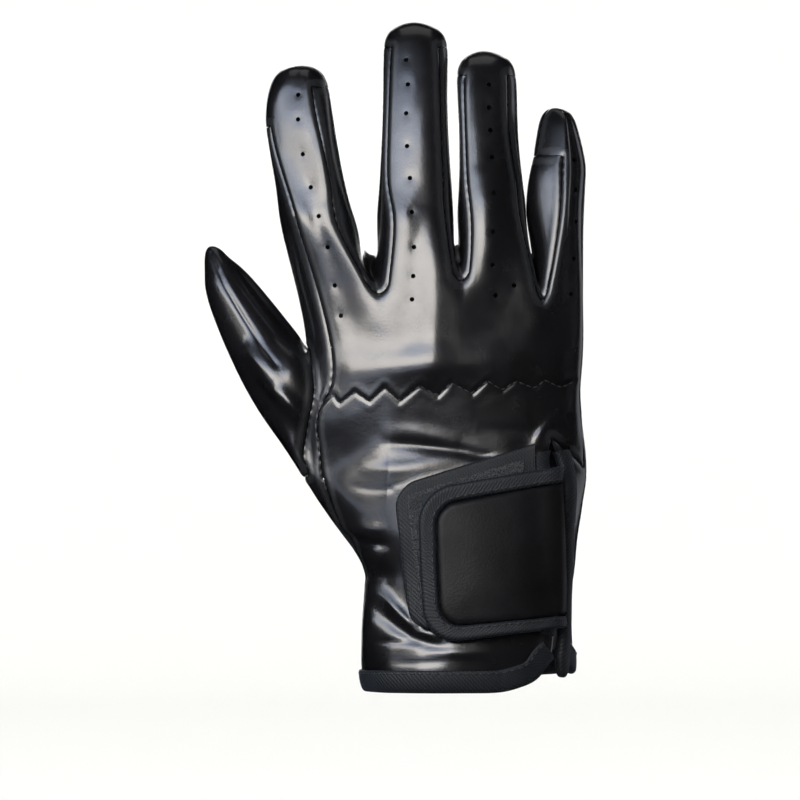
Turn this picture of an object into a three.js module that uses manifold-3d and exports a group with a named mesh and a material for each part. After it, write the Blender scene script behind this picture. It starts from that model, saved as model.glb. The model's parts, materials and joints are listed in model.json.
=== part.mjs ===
// Driving glove for a right hand, in the shape it has when worn, fingers up. Millimetres.
// +Z runs from the cuff to the fingertips, +X towards the little finger and -Y out of the back
// of the hand. The origin is the middle of the cuff's mouth.
import * as THREE from "three";
import { mergeVertices } from "three/addons/utils/BufferGeometryUtils.js";
import Module from "manifold-3d";

const wasm = await Module();
wasm.setup();

// Driving dimensions
const wall = 1.2; // leather with its backing
const seamGap = 0.3; // between the edges of two panels
const bodyFullness = 2.4; // exponent of the hand's rounded section, 2 is an ellipse
const fingerFullness = 2.2;
const fingerBackFullness = 2.9; // a finger's back is flatter, with rounder edges at its seams
const holeDiameter = 1.6;
const bindingThickness = 0.8;
const bindingClearance = 0.3;
const hemReach = 6.8; // how far the hem's binding covers the leather
const slitReach = 7;
const slitBackReach = 6.6;
const slitBend = 1.2; // distance from the edge at which the slit's bindings turn with the leather
const slitPalmHeight = 2.4; // of the rolled edge that covers the tab's end
const slitFootReach = 4.2; // reach of the palm's binding at its foot
const slitFootLength = 6.5; // how far the palm's binding hangs below the hem
const hemStart = 0.35; // where the hem's binding starts and ends, in steps of the mouth's edge
const hemEnd = 0.7;
const slitBackStart = 0.9; // where the back's binding starts over the hem, in steps of the slit
const slitTopShare = 0.4; // where both bindings end under the slit's top
const slitHalfWidth = 2.8; // from the slit's middle to the leather's edge
const slitRun = 9; // length over which the slit opens
const slitZone = { from: 28, to: 36 }; // x between which the slit's edges lie
const palmHalfShare = 0.35; // half width of a finger's palm panel, as a share of the finger
const riseStart = 0.6; // where the hem starts to rise to the slit, as a share of the back
const riseCurve = 2.8; // exponent of that rise
const webDepth = 1; // y of the webs between the fingers
const fitRounds = 8;
const patchColumns = 8;
const patchRows = 8;
const drillSides = 5;

const backColumns = 12;
const palmColumns = 12;
const rightSide = backColumns; // place in the ring of the point on the little finger's side
const leftSide = backColumns + palmColumns + 1;
const slitColumn = backColumns - 1;
const slitRow = 4; // section where the slit starts
const holeRows = { first: 1, last: 5 }; // sections between which the thumb's hole lies

// Turns rows of values into records with the given column names
function table(names, rows) {
  return rows.map((row) => Object.fromEntries(names.map((name, column) => [name, row[column]])));
}

// The knuckle line. One row for each column of the body: its x on the back, its height on the
// back, its height on the palm, and its place across the palm from -1 to 1.
const knuckles = [
  { x: -51.8, back: 138.6, palm: 143.8, across: -0.93 },
  { x: -43.0, back: 139.0, palm: 148.4, across: -0.72 },
  { x: -34.0, back: 140.7, palm: 151.2, across: -0.53 },
  { x: -27.0, back: 140.3, palm: 151.9, across: -0.36 },
  { x: -15.4, back: 141.5, palm: 152.6, across: -0.13 },
  { x: -4.2, back: 144.2, palm: 154.0, across: 0.08 },
  { x: 1.2, back: 144.6, palm: 154.0, across: 0.19 },
  { x: 13.0, back: 141.5, palm: 152.6, across: 0.42 },
  { x: 24.9, back: 139.2, palm: 151.2, across: 0.62 },
  { x: 28.6, back: 138.2, palm: 150.5, across: 0.76 },
  { x: 35.4, back: 138.6, palm: 147.7, across: 0.89 },
  { x: 40.0, back: 138.6, palm: 143.5, across: 0.97 },
];

// Sections of the body from the knuckles to the cuff. z: height on the back and thumb side,
// side: height on the little finger's side, left and right: the section's ends, strip: edge of
// the thumb's hole or the left end, seam: edge of the back panel, slit: the back's last column,
// rise: how much higher the row ends at that column, back and palm: depths from the middle.
const sectionColumns = ["z", "side", "left", "strip", "seam", "slit", "right", "rise", "back", "palm"];
const sections = table(sectionColumns, [
  [138.6, 140.0, -58.8, -58.8, -51.8, 40.0, 41.3, 0, 13.0, 14.5],
  [117.6, 116.5, -55.3, -55.0, -46.9, 39.6, 41.3, 0, 14.5, 17.5],
  [104.3, 102.5, -56.7, -52.9, -47.2, 38.6, 40.3, 0, 15.0, 19.0],
  [95.0, 89.0, -58.6, -54.2, -51.8, 37.0, 41.3, 1, 15.5, 20.5],
  [84.0, 76.3, -59.5, -56.3, -52.1, 30.1, 41.9, 2.8, 16.0, 21.5],
  [73.2, 67.5, -58.1, -56.0, -50.8, 32.2, 41.2, 0, 17.0, 22.0],
  [63.3, 60.0, -50.4, -50.4, -47.2, 32.6, 40.3, 0, 18.0, 22.0],
  [52.8, 51.0, -42.7, -42.7, -41.3, 32.6, 39.1, 0, 19.5, 22.0],
  [41.3, 41.3, -35.0, -35.0, -34.4, 32.6, 38.3, 0, 21.0, 22.0],
  [30.1, 31.0, -34.7, -34.7, -34.0, 32.6, 36.9, 0, 22.5, 22.5],
  [16.1, 20.0, -35.2, -35.2, -34.6, 32.2, 37.4, 2, 23.5, 23.0],
  [-0.5, 6.0, -34.2, -34.2, -33.6, 31.4, 37.6, 11.5, 23.5, 23.5],
]);

// Fingers, each with its tip and its sections from the palm to the tip. left and right: the outline,
// seamLeft and seamRight: edges of the back panel, mid: how far forward, thick: front to back,
// roll: how far the finger's back turns towards +x, in degrees.
const fingerColumns = ["z", "left", "right", "seamLeft", "seamRight", "mid", "thick", "roll"];
const fingers = [
  {
    tip: { x: -57.0, y: 5, z: 217.6 },
    sections: table(fingerColumns, [
      [160.3, -64.4, -37.5, -58.4, -44.1, 1, 23, -5],
      [172.9, -66.2, -41.3, -62.0, -46.6, 1.5, 21, -7],
      [195.6, -69.3, -45.5, -68.2, -51.5, 3.5, 19.5, -7],
      [209.5, -68.4, -47.9, -65.6, -53.4, 4.5, 16.5, -7],
    ]),
  },
  {
    tip: { x: -17.8, y: 8.5, z: 233.0 },
    sections: table(fingerColumns, [
      [163.0, -31.0, -3.8, -25.2, -6.9, 0.3, 24, -1],
      [177.1, -29.9, -4.7, -27.4, -7.4, 1, 22, -2],
      [203, -28.7, -6.0, -26.9, -8.4, 3.2, 19.5, -2],
      [223.6, -28.4, -6.2, -25.9, -9.1, 7, 15.5, -2],
    ]),
  },
  {
    tip: { x: 6.8, y: 7, z: 222.8 },
    sections: table(fingerColumns, [
      [164.0, -2.9, 21.4, 1.8, 19.3, 0.5, 23, 6],
      [176.5, -2.3, 20.3, 0.4, 18.2, 1, 21, 9],
      [196, -2.3, 18.8, -0.3, 15.4, 3, 18.5, 11],
      [213.6, -2.8, 17.9, -0.3, 15.0, 5.5, 16, 11],
    ]),
  },
  {
    tip: { x: 31.6, y: 6.5, z: 202.8 },
    sections: table(fingerColumns, [
      [163.0, 22.1, 41.6, 32.7, 39.7, 1.7, 19.5, 8],
      [177.8, 22.9, 42.3, 33.6, 40.6, 2.5, 17.5, 12],
      [185.5, 24.5, 41.8, 33.9, 40.2, 3.5, 16, 12],
      [195.6, 26.2, 39.5, 33.9, 38.0, 5.2, 13, 12],
    ]),
  },
];

const foldSteps = 16;
const foldEnd = 0.12; // share of a fold's length at each end where its height no longer falls
const foldSteepness = 1.6;
const foldFacing = 0.5; // folds reach their full height where the leather faces the back this much
const crown = { rise: 0.74, width: 0.66 }; // ring under a fingertip, as shares of the last section

// The webs between the fingers: the x of the two side walls where they meet the web, its height.
const webs = [
  { from: -35.0, to: -31.2, z: 148.4 },
  { from: -3.5, to: -2.4, z: 152.6 },
  { from: 22.0, to: 23.6, z: 149.0 },
];

// The thumb's sections from the hand outwards. inner: the edge that faces the index finger,
// outer: the opposite edge, mid: how far forward, thick: front to back.
const thumb = {
  sections: [
    { inner: { x: -56.9, z: 120.9 }, outer: { x: -69.3, z: 91.7 }, mid: 4, thick: 25 },
    { inner: { x: -63.0, z: 128.8 }, outer: { x: -81.0, z: 112.0 }, mid: 8, thick: 22.5 },
    { inner: { x: -74.9, z: 143.2 }, outer: { x: -90.0, z: 134.0 }, mid: 10.5, thick: 17 },
    { inner: { x: -82.6, z: 150.2 }, outer: { x: -91.5, z: 143.8 }, mid: 11.5, thick: 11.5 },
  ],
  tip: [
    { x: -86.0, z: 153.4 },
    { x: -89.7, z: 154.2 },
    { x: -91.5, z: 150.6 },
  ],
};

// Folds of the worn leather on the back: each runs from its start over its middle to its end.
// A positive height is a ridge and a negative one a groove; width is half of its full width.
const foldColumns = ["name", "start", "middle", "end", "width", "height"];
const folds = table(foldColumns, [
  ["ridge under the gather", [-28, 89], [-17, 90.3], [-3.5, 88.5], 3.6, 1.2],
  ["long groove", [-34, 83.5], [-8, 84.2], [20, 85.5], 3, -1.7],
  ["broad ridge", [-40, 78], [-22, 79.2], [-4, 81], 3.8, 1.4],
  ["groove over the closure", [-44, 73], [-31, 72], [-24, 71.4], 2.6, -1.2],
  ["gather", [-47, 100], [-5, 102.5], [37, 104.5], 2.6, -0.6],
  ["cuff arc", [-28, 34], [-24, 24], [-8, 18.5], 3, 1.3],
  ["cuff hollow", [-30, 19], [-20, 15], [-6, 10], 3, -1],
  ["wrist pinch", [-40, 55], [-35, 57.5], [-30, 60], 2.6, -1.2],
  ["wrist ridge", [-39, 50], [-35, 48.5], [-30, 46], 2.6, 1.1],
  ["wrist crease", [-31, 43], [-31.5, 36], [-32, 30], 2.4, -0.8],
  ["thumb closing seam", [-88.5, 150], [-72.3, 120.6], [-54, 96], 1.6, -0.9],
  ["thumb root groove", [-64, 104], [-60, 97], [-58, 90], 3, -1.1],
  ["thumb root ridge", [-68, 108], [-65, 100], [-63, 94], 3, 0.9],
]);

// Ventilation holes through the back panel, as x and z, finger by finger
const holes = [
  [
    [-58.4, 206.8], [-58.4, 198.1], [-56.7, 185.9], [-53.9, 174.3], [-51.1, 164.2], [-48, 153.3],
    [-45.5, 140], [-43.4, 129.5],
  ],
  [
    [-20.6, 219.1], [-20, 210.4], [-20.6, 200.2], [-20.3, 188.7], [-19.3, 177.5], [-18.6, 165.6],
    [-17.9, 153.3], [-18.2, 143.2], [-18.6, 135.1],
  ],
  [
    [8.4, 210.4], [8.4, 202.3], [8.8, 194.3], [9.4, 184.8], [9.8, 172.2], [9.4, 158.6],
    [9.4, 147], [10.5, 136.5], [17, 140],
  ],
  [
    [38.2, 184], [38.8, 173.6], [38.8, 162.4], [38, 149.5], [37, 137],
  ],
];

// The closure. Corners as x and z; lift is the height over the back panel.
const tabOuter = {
  topLeft: [-16.8, 68.4],
  topRight: [31.6, 76.8],
  bottomRight: [32.2, 20.8],
  bottomLeft: [-13.4, 15],
  radius: 12,
};
const tabInner = {
  topLeft: [-10.2, 63],
  topRight: [31.6, 70.8],
  bottomRight: [32.2, 25.2],
  bottomLeft: [-8.2, 21.4],
  radius: 7,
};
const tabThickness = 1.8;
const tabLift = 2.9;
const tabEndLift = 0.2;
const tabDrop = { from: 30, to: 35 }; // x between which the tab's end goes down beside the slit
const pad = {
  topLeft: [-25, 69.8],
  topRight: [21.4, 84],
  bottomRight: [22, 26],
  bottomLeft: [-18.5, 19.4],
  radius: 8,
};
const padThickness = 1.8;
const padLift = 0.55;

const leatherLook = { color: 0x17181a, roughness: 0.34, metalness: 0 };
const clothLook = { color: 0x20252c, roughness: 0.85, metalness: 0 };
const pileLook = { color: 0x1b1e22, roughness: 0.95, metalness: 0 };

const { lerp, clamp, smoothstep } = THREE.MathUtils;
const vector = (x, y, z) => new THREE.Vector3(x, y, z);

// The cage: corner points and four-sided faces, each face with the panel that it belongs to
const cage = { points: [], faces: [] };

function addPoint(x, y, z) {
  return cage.points.push(vector(x, y, z)) - 1;
}

function addFace(panel, ...corners) {
  cage.faces.push({ panel, corners });
}

// Joins two rings of equal size, the lower one first, with a panel named for each place
function addBand(lower, upper, panelAt) {
  lower.forEach((corner, place) => {
    const next = (place + 1) % lower.length;
    const panel = panelAt(place);
    if (panel) addFace(panel, corner, lower[next], upper[next], upper[place]);
  });
}

// Depth of a rounded section at x, on the back (side -1) or the palm (side 1)
function sectionDepth({ left, right }, x, side, fullness, back, palm) {
  const across = clamp((2 * x - left - right) / (right - left), -1, 1);
  const share = (1 - Math.abs(across) ** fullness) ** (1 / fullness);
  return side * share * (side < 0 ? back : palm);
}

function bodyRing(section, row) {
  const ring = [];
  const evenness = clamp(row / 2, 0, 1);
  const width = knuckles[slitColumn].x - knuckles[0].x;
  const depthAt = (x, side) => sectionDepth(section, x, side, bodyFullness, section.back, section.palm);
  knuckles.forEach((knuckle, column) => {
    const even = column / slitColumn;
    const share = lerp((knuckle.x - knuckles[0].x) / width, even, evenness);
    const x = lerp(section.seam, section.slit, share);
    const z = section.z + section.rise * Math.max((share - riseStart) / (1 - riseStart), 0) ** riseCurve;
    ring.push(addPoint(x, depthAt(x, -1), row === 0 ? knuckle.back : z));
  });
  ring.push(addPoint(section.right, 0, section.side));
  for (let column = palmColumns - 1; column >= 0; column -= 1) {
    const knuckle = knuckles[column];
    const x = lerp(section.left, section.right, (1 + knuckle.across) / 2);
    const z = lerp(section.z, section.side, (1 + column) / (1 + palmColumns));
    const insideHole = column === 0 && row > holeRows.first && row < holeRows.last;
    ring.push(insideHole ? null : addPoint(x, depthAt(x, 1), row === 0 ? knuckle.palm : z));
  }
  ring.push(addPoint(section.strip, depthAt(section.strip, -1), section.z));
  return ring;
}

function bodyPanel(place, row) {
  const inHole = row >= holeRows.first && row < holeRows.last;
  if (inHole && (place === leftSide - 1 || place === leftSide - 2)) return null;
  if (place < slitColumn) return "back_panel";
  if (place === slitColumn && row < slitRow) return "back_panel";
  return "palm_panel";
}

const fourchettes = ["fourchette_index_middle", "fourchette_middle_ring", "fourchette_ring_little"];

// The panel of a finger's face: places 0 and 1 are its back, 2 and 3 its right side, 4 and 5
// its palm, 6 and 7 its left side. band counts from the palm; the last one is under the tip.
function fingerPanel(place, finger, band) {
  const lastBand = fingers[finger].sections.length - 1;
  const overTip = band > lastBand;
  if (place < 2) return "back_panel";
  if (place === 4 || place === 5) return "palm_panel";
  const right = place < 4;
  const little = fingers.length - 1;
  const toBack = place === 2 || place === 7;
  if (overTip) return toBack ? "back_panel" : "palm_panel";
  if (finger === 0 && !right) return band === lastBand && toBack ? "back_panel" : "palm_panel";
  if (finger === little && right) return toBack ? "back_panel" : "palm_panel";
  if (finger === little && band === lastBand) return toBack ? "back_panel" : "palm_panel";
  return fourchettes[right ? finger : finger - 1];
}

function fingerRing(section) {
  const half = section.thick / 2;
  const centre = (section.left + section.right) / 2;
  const slope = Math.tan((section.roll / 180) * Math.PI);
  const place = (x, depth) => addPoint(x, section.mid + depth + slope * (x - centre), section.z);
  const backPlace = (x) => place(x, sectionDepth(section, x, -1, fingerBackFullness, half, half));
  const palmPlace = (x) => place(x, sectionDepth(section, x, 1, fingerFullness, half, half));
  const middle = (section.seamLeft + section.seamRight) / 2;
  const palmHalf = palmHalfShare * (section.right - section.left);
  return [
    ...[section.seamLeft, middle, section.seamRight].map(backPlace),
    place(section.right, 0),
    ...[centre + palmHalf, centre, centre - palmHalf].map(palmPlace),
    place(section.left, 0),
  ];
}

// The last ring, close under the tip, which makes the finger's end round
function crownRing({ tip, sections: rows }) {
  const last = rows.at(-1);
  const near = (value) => lerp(tip.x, value, crown.width);
  return fingerRing({
    z: lerp(last.z, tip.z, crown.rise),
    left: near(last.left),
    right: near(last.right),
    seamLeft: near(last.seamLeft),
    seamRight: near(last.seamRight),
    mid: tip.y,
    thick: last.thick * crown.width,
    roll: last.roll,
  });
}

function addFingers(top) {
  const sides = webs.map(({ from, to, z }) => [addPoint(from, webDepth, z), addPoint(to, webDepth, z)]);
  const back = (column) => top[column];
  const palm = (column) => top[leftSide - 1 - column];
  fingers.forEach((finger, number) => {
    const first = 3 * number;
    let lower = [
      back(first),
      back(first + 1),
      back(first + 2),
      number < webs.length ? sides[number][0] : top[rightSide],
      palm(first + 2),
      palm(first + 1),
      palm(first),
      number > 0 ? sides[number - 1][1] : top[leftSide],
    ];
    finger.sections.forEach((section, band) => {
      const upper = fingerRing(section);
      addBand(lower, upper, (place) => fingerPanel(place, number, band));
      lower = upper;
    });
    const round = crownRing(finger);
    addBand(lower, round, (place) => fingerPanel(place, number, finger.sections.length));
    lower = round;
    const tip = addPoint(finger.tip.x, finger.tip.y, finger.tip.z);
    addFace("back_panel", lower[0], lower[1], tip, lower[7]);
    addFace("back_panel", lower[1], lower[2], lower[3], tip);
    addFace("palm_panel", tip, lower[3], lower[4], lower[5]);
    addFace("palm_panel", lower[7], tip, lower[5], lower[6]);
    if (number < webs.length) {
      const [right, left] = sides[number];
      addFace(fourchettes[number], back(first + 2), back(first + 3), left, right);
      addFace(fourchettes[number], right, left, palm(first + 3), palm(first + 2));
    }
  });
}

// The thumb's ring starts at the crotch on the back side and turns over the palm side
function thumbRing({ inner, outer, mid, thick }, size) {
  const ring = [];
  for (let place = 0; place < size; place += 1) {
    const angle = ((place - 1) / size) * 2 * Math.PI;
    const share = (1 + Math.cos(angle)) / 2;
    const y = mid + (thick / 2) * Math.sin(angle);
    ring.push(addPoint(lerp(outer.x, inner.x, share), y, lerp(outer.z, inner.z, share)));
  }
  return ring;
}

function addThumb(rings) {
  const { first, last } = holeRows;
  const palmEdge = leftSide - 2;
  let lower = [rings[first][leftSide], rings[first][leftSide - 1]];
  for (let row = first; row <= last; row += 1) lower.push(rings[row][palmEdge]);
  lower.push(rings[last][leftSide - 1]);
  for (let row = last; row > first; row -= 1) lower.push(rings[row][leftSide]);
  thumb.sections.forEach((section) => {
    const upper = thumbRing(section, lower.length);
    addBand(lower, upper, () => "thumb");
    lower = upper;
  });
  const depth = thumb.sections.at(-1).mid;
  const middle = [lower[1], ...thumb.tip.map(({ x, z }) => addPoint(x, depth, z)), lower[7]];
  const back = [0, 11, 10, 9, 8].map((place) => lower[place]);
  const palm = [2, 3, 4, 5, 6].map((place) => lower[place]);
  for (let step = 0; step < middle.length - 1; step += 1) {
    addFace("thumb", back[step + 1], back[step], middle[step], middle[step + 1]);
    addFace("thumb", middle[step + 1], middle[step], palm[step], palm[step + 1]);
  }
}

function buildCage() {
  const rings = sections.map(bodyRing);
  for (let row = 0; row < rings.length - 1; row += 1) {
    addBand(rings[row + 1], rings[row], (place) => bodyPanel(place, row));
  }
  addFingers(rings[0]);
  addThumb(rings);
  cage.slitTop = rings[slitRow][slitColumn];
  cage.slitFoot = rings.at(-1)[slitColumn];
}

// Neighbours of each point: along the edges, across the faces, and along an open edge
function neighbours({ points, faces }) {
  const around = points.map(() => ({ near: new Map(), far: [] }));
  faces.forEach(({ corners }) => {
    corners.forEach((corner, place) => {
      const next = corners[(place + 1) % 4];
      around[corner].far.push(corners[(place + 2) % 4]);
      around[corner].near.set(next, (around[corner].near.get(next) ?? 0) + 1);
      around[next].near.set(corner, (around[next].near.get(corner) ?? 0) + 1);
    });
  });
  return around.map(({ near, far }) => ({
    near: [...near.keys()],
    far,
    rim: [...near.keys()].filter((other) => near.get(other) === 1),
  }));
}

function weighted(points, own, ownWeight, groups) {
  const sum = points[own].clone().multiplyScalar(ownWeight);
  let total = ownWeight;
  groups.forEach(([list, weight]) => {
    list.forEach((other) => sum.addScaledVector(points[other], weight));
    total += weight * list.length;
  });
  return sum.divideScalar(total);
}

// Where each point lies on the smooth surface that endless subdivision would give
function smoothPlaces(mesh) {
  return neighbours(mesh).map(({ near, far, rim }, own) => {
    if (rim.length) return weighted(mesh.points, own, 4, [[rim, 1]]);
    const count = near.length;
    return weighted(mesh.points, own, count * count, [[near, 4], [far, 1]]);
  });
}

// Moves the cage so that its smooth surface passes through the points of the tables
function fitCage(rounds) {
  const targets = cage.points.map((point) => point.clone());
  for (let round = 0; round < rounds; round += 1) {
    smoothPlaces(cage).forEach((place, index) => {
      cage.points[index].add(targets[index]).sub(place);
    });
  }
}

// One step of Catmull-Clark subdivision
function subdivide(mesh) {
  const points = [];
  const edgePoints = new Map();
  const around = neighbours(mesh);
  const centreOf = ({ corners: [first, ...others] }) => weighted(mesh.points, first, 1, [[others, 1]]);
  const centres = mesh.faces.map(centreOf);
  around.forEach(({ near, far, rim }, own) => {
    const count = near.length;
    if (rim.length) points.push(weighted(mesh.points, own, 6, [[rim, 1]]));
    else points.push(weighted(mesh.points, own, 4 * count * count - 7 * count, [[near, 6], [far, 1]]));
  });
  const edgeKey = (a, b) => Math.min(a, b) * mesh.points.length + Math.max(a, b);
  mesh.faces.forEach(({ corners }, face) => {
    corners.forEach((a, place) => {
      const b = corners[(place + 1) % 4];
      const key = edgeKey(a, b);
      if (!edgePoints.has(key)) edgePoints.set(key, { a, b, faces: [] });
      edgePoints.get(key).faces.push(face);
    });
  });
  edgePoints.forEach((edge) => {
    const middle = mesh.points[edge.a].clone().add(mesh.points[edge.b]);
    if (edge.faces.length === 2) {
      edge.faces.forEach((face) => middle.add(centres[face]));
      middle.divideScalar(4);
    } else {
      middle.divideScalar(2);
    }
    edge.index = points.push(middle) - 1;
  });
  const faces = [];
  mesh.faces.forEach(({ panel, corners }, face) => {
    const centre = points.push(centres[face]) - 1;
    corners.forEach((corner, place) => {
      const after = edgePoints.get(edgeKey(corner, corners[(place + 1) % 4])).index;
      const before = edgePoints.get(edgeKey(corner, corners[(place + 3) % 4])).index;
      faces.push({ panel, corners: [corner, after, centre, before] });
    });
  });
  return { points, faces };
}

function faceNormal(points, corners) {
  const [a, b, c, d] = corners.map((corner) => points[corner]);
  return c.clone().sub(a).cross(d.clone().sub(b)).normalize();
}

function pointNormals({ points, faces }) {
  const normals = points.map(() => vector(0, 0, 0));
  faces.forEach(({ corners }) => {
    const normal = faceNormal(points, corners);
    corners.forEach((corner) => normals[corner].add(normal));
  });
  return normals.map((normal) => normal.normalize());
}

// A place on a fold's route, the arc through its three points
function foldPlace({ start, middle, end }, t) {
  const [first, second, third] = [(1 - t) * (1 - 2 * t), 4 * t * (1 - t), t * (2 * t - 1)];
  return [0, 1].map((axis) => start[axis] * first + middle[axis] * second + end[axis] * third);
}

// How far a fold lifts the leather at x, z
function foldHeight(fold, x, z) {
  let nearest = Infinity;
  let place = 0;
  for (let step = 0; step <= foldSteps; step += 1) {
    const t = step / foldSteps;
    const [foldX, foldZ] = foldPlace(fold, t);
    const distance = Math.hypot(x - foldX, z - foldZ);
    if (distance < nearest) {
      nearest = distance;
      place = t;
    }
  }
  const taper = Math.sqrt(Math.sin(Math.PI * clamp(place, foldEnd, 1 - foldEnd)));
  return fold.height * taper * Math.exp(-foldSteepness * (nearest / fold.width) ** 2);
}

function foldLeather(surface) {
  const normals = pointNormals(surface);
  surface.points.forEach((point, index) => {
    const facing = smoothstep(-normals[index].y, 0, foldFacing);
    if (!facing) return;
    const height = folds.reduce((sum, fold) => sum + foldHeight(fold, point.x, point.z), 0);
    point.addScaledVector(normals[index], facing * height);
  });
}

// The surface of the whole glove, before it is cut into panels
function gloveSurface() {
  buildCage();
  fitCage(fitRounds);
  const surface = subdivide(cage);
  surface.points = smoothPlaces(surface);
  foldLeather(surface);
  return surface;
}

// A closed geometry from points and triangles, turned so that it faces out
function closedGeometry(points, triangles) {
  let volume = 0;
  triangles.forEach(([a, b, c]) => {
    volume += points[a].dot(points[b].clone().cross(points[c]));
  });
  const facing = volume < 0 ? triangles.map(([a, b, c]) => [a, c, b]) : triangles;
  const geometry = new THREE.BufferGeometry().setFromPoints(points);
  geometry.setIndex(facing.flat());
  return geometry;
}

// Half of the gap that the slit leaves at this height, or of an ordinary seam elsewhere
function edgeInset({ x, y, z }) {
  const top = sections[slitRow].z + sections[slitRow].rise;
  const nearSlit = y < 0 && x > slitZone.from && x < slitZone.to && z < top;
  return seamGap / 2 + (nearSlit ? slitHalfWidth * smoothstep(top - z, 0, slitRun) : 0);
}

// The edges of one panel, each with the direction that leads into the panel
function panelEdges(surface, faces) {
  const edges = new Map();
  faces.forEach(({ corners }) => {
    corners.forEach((a, place) => {
      const b = corners[(place + 1) % 4];
      if (edges.has(b + "-" + a)) edges.delete(b + "-" + a);
      else edges.set(a + "-" + b, { a, b, corners });
    });
  });
  return [...edges.values()].map((edge) => {
    const along = surface.points[edge.b].clone().sub(surface.points[edge.a]);
    const inward = faceNormal(surface.points, edge.corners).cross(along).normalize();
    return { ...edge, inward };
  });
}

function panelNormal(surface, faces, corner) {
  const sum = vector(0, 0, 0);
  faces.forEach(({ corners }) => {
    if (corners.includes(corner)) sum.add(faceNormal(surface.points, corners));
  });
  return sum.normalize();
}

// One panel of leather: the surface, set back from its seams, and the same again on the inside
function panelGeometry(surface, normals, panel, openRim) {
  const faces = surface.faces.filter((face) => face.panel === panel);
  const edges = panelEdges(surface, faces);
  const insets = new Map();
  edges.forEach(({ a, b, inward }) => {
    if (openRim.has(a) && openRim.has(b)) return;
    [a, b].forEach((corner) => {
      if (!insets.has(corner)) insets.set(corner, vector(0, 0, 0));
      insets.get(corner).add(inward);
    });
  });
  const places = new Map();
  const points = [];
  faces.forEach(({ corners }) => {
    corners.forEach((corner) => {
      if (places.has(corner)) return;
      const outer = surface.points[corner].clone();
      const inset = insets.get(corner);
      let out = normals[corner];
      if (inset) {
        const distance = edgeInset(outer);
        if (distance > seamGap) out = panelNormal(surface, faces, corner);
        outer.addScaledVector(inset.normalize(), distance);
      }
      const inner = outer.clone().addScaledVector(out, -wall);
      places.set(corner, points.push(outer, inner) - 2);
    });
  });
  const triangles = [];
  faces.forEach(({ corners }) => {
    const [a, b, c, d] = corners.map((corner) => places.get(corner));
    triangles.push([a, b, c], [a, c, d], [a + 1, c + 1, b + 1], [a + 1, d + 1, c + 1]);
  });
  edges.forEach((edge) => {
    const [a, b] = [places.get(edge.a), places.get(edge.b)];
    triangles.push([b, a, a + 1], [b, a + 1, b + 1]);
  });
  return closedGeometry(points, triangles);
}

// A strip swept through stations, each a list of points of the same section, closed at its ends
function sweptGeometry(loops, section) {
  const size = section.length;
  const points = loops.flat();
  const triangles = [];
  for (let station = 0; station < loops.length - 1; station += 1) {
    for (let place = 0; place < size; place += 1) {
      const next = (place + 1) % size;
      const [low, high] = [station * size, (station + 1) * size];
      triangles.push([low + place, low + next, high + next], [low + place, high + next, high + place]);
    }
  }
  const flat = section.map(([x, y]) => new THREE.Vector2(x, y));
  const last = (loops.length - 1) * size;
  THREE.ShapeUtils.triangulateShape(flat, []).forEach(([a, b, c]) => {
    triangles.push([c, b, a], [a + last, b + last, c + last]);
  });
  return closedGeometry(points, triangles);
}

// The section of a binding folded over an edge: distances from the leather's edge, and heights
// over its outer face. bends are the distances where its legs may follow the leather round.
function bindingSection(reach, thickness, bends, height = thickness) {
  const over = bindingClearance;
  const under = -wall - bindingClearance;
  const nose = -bindingClearance - thickness;
  const outwards = [...bends].reverse();
  return [
    [reach, over],
    [reach, over + thickness],
    ...bends.map((bend) => [bend, over + height]),
    [nose, over + height],
    [nose, under - thickness],
    ...outwards.map((bend) => [bend, under - thickness]),
    [reach, under - thickness],
    [reach, under],
    ...bends.map((bend) => [bend, under]),
    [-bindingClearance, under],
    [-bindingClearance, over],
    ...outwards.map((bend) => [bend, over]),
  ];
}

function palmBindingSection(reach) {
  return bindingSection(reach, bindingThickness, [reach / 2, slitBend], slitPalmHeight);
}

// The points along the cuff's mouth, from the slit over the back, and all the way round
function mouthLoop(surface) {
  const next = new Map();
  panelEdges(surface, surface.faces).forEach(({ a, b }) => next.set(a, b));
  let corner = cage.slitFoot;
  const loop = [];
  do {
    loop.push(corner);
    corner = next.get(corner);
  } while (corner !== cage.slitFoot);
  const towardsBack = surface.points[loop[1]].x < surface.points[loop[0]].x;
  return towardsBack ? loop : [loop[0], ...loop.slice(1).reverse()];
}

// The point next to this one along an edge of the surface, nearest to the wanted direction
function stepFrom(surface, around, corner, direction) {
  const here = surface.points[corner];
  const steepness = (other) => surface.points[other].clone().sub(here).normalize().dot(direction);
  return around[corner].near.reduce((best, other) => (steepness(other) > steepness(best) ? other : best));
}

const pathSteps = 3;

// The points that lead from an edge into the leather, with the way out of it at each
function pathInto({ surface, normals, around }, corner, direction) {
  const path = [];
  let heading = direction;
  for (let step = 0; step <= pathSteps; step += 1) {
    path.push({ point: surface.points[corner], out: normals[corner] });
    const next = stepFrom(surface, around, corner, heading);
    heading = surface.points[next].clone().sub(surface.points[corner]).normalize();
    corner = next;
  }
  return path;
}

function liftedOnPath(path, distance, lift) {
  let left = distance;
  let step = 0;
  let length = path[0].point.distanceTo(path[1].point);
  while (left > length && step < path.length - 2) {
    left -= length;
    step += 1;
    length = path[step].point.distanceTo(path[step + 1].point);
  }
  const share = left / length;
  const out = path[step].out.clone().lerp(path[step + 1].out, share).normalize();
  return path[step].point.clone().lerp(path[step + 1].point, share).addScaledVector(out, lift);
}

function bindingLoop(path, start, section) {
  return section.map(([along, lift]) => liftedOnPath(path, start + along, lift));
}

function loopBetween(from, to, share) {
  return from.map((point, place) => point.clone().lerp(to[place], share));
}

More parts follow.
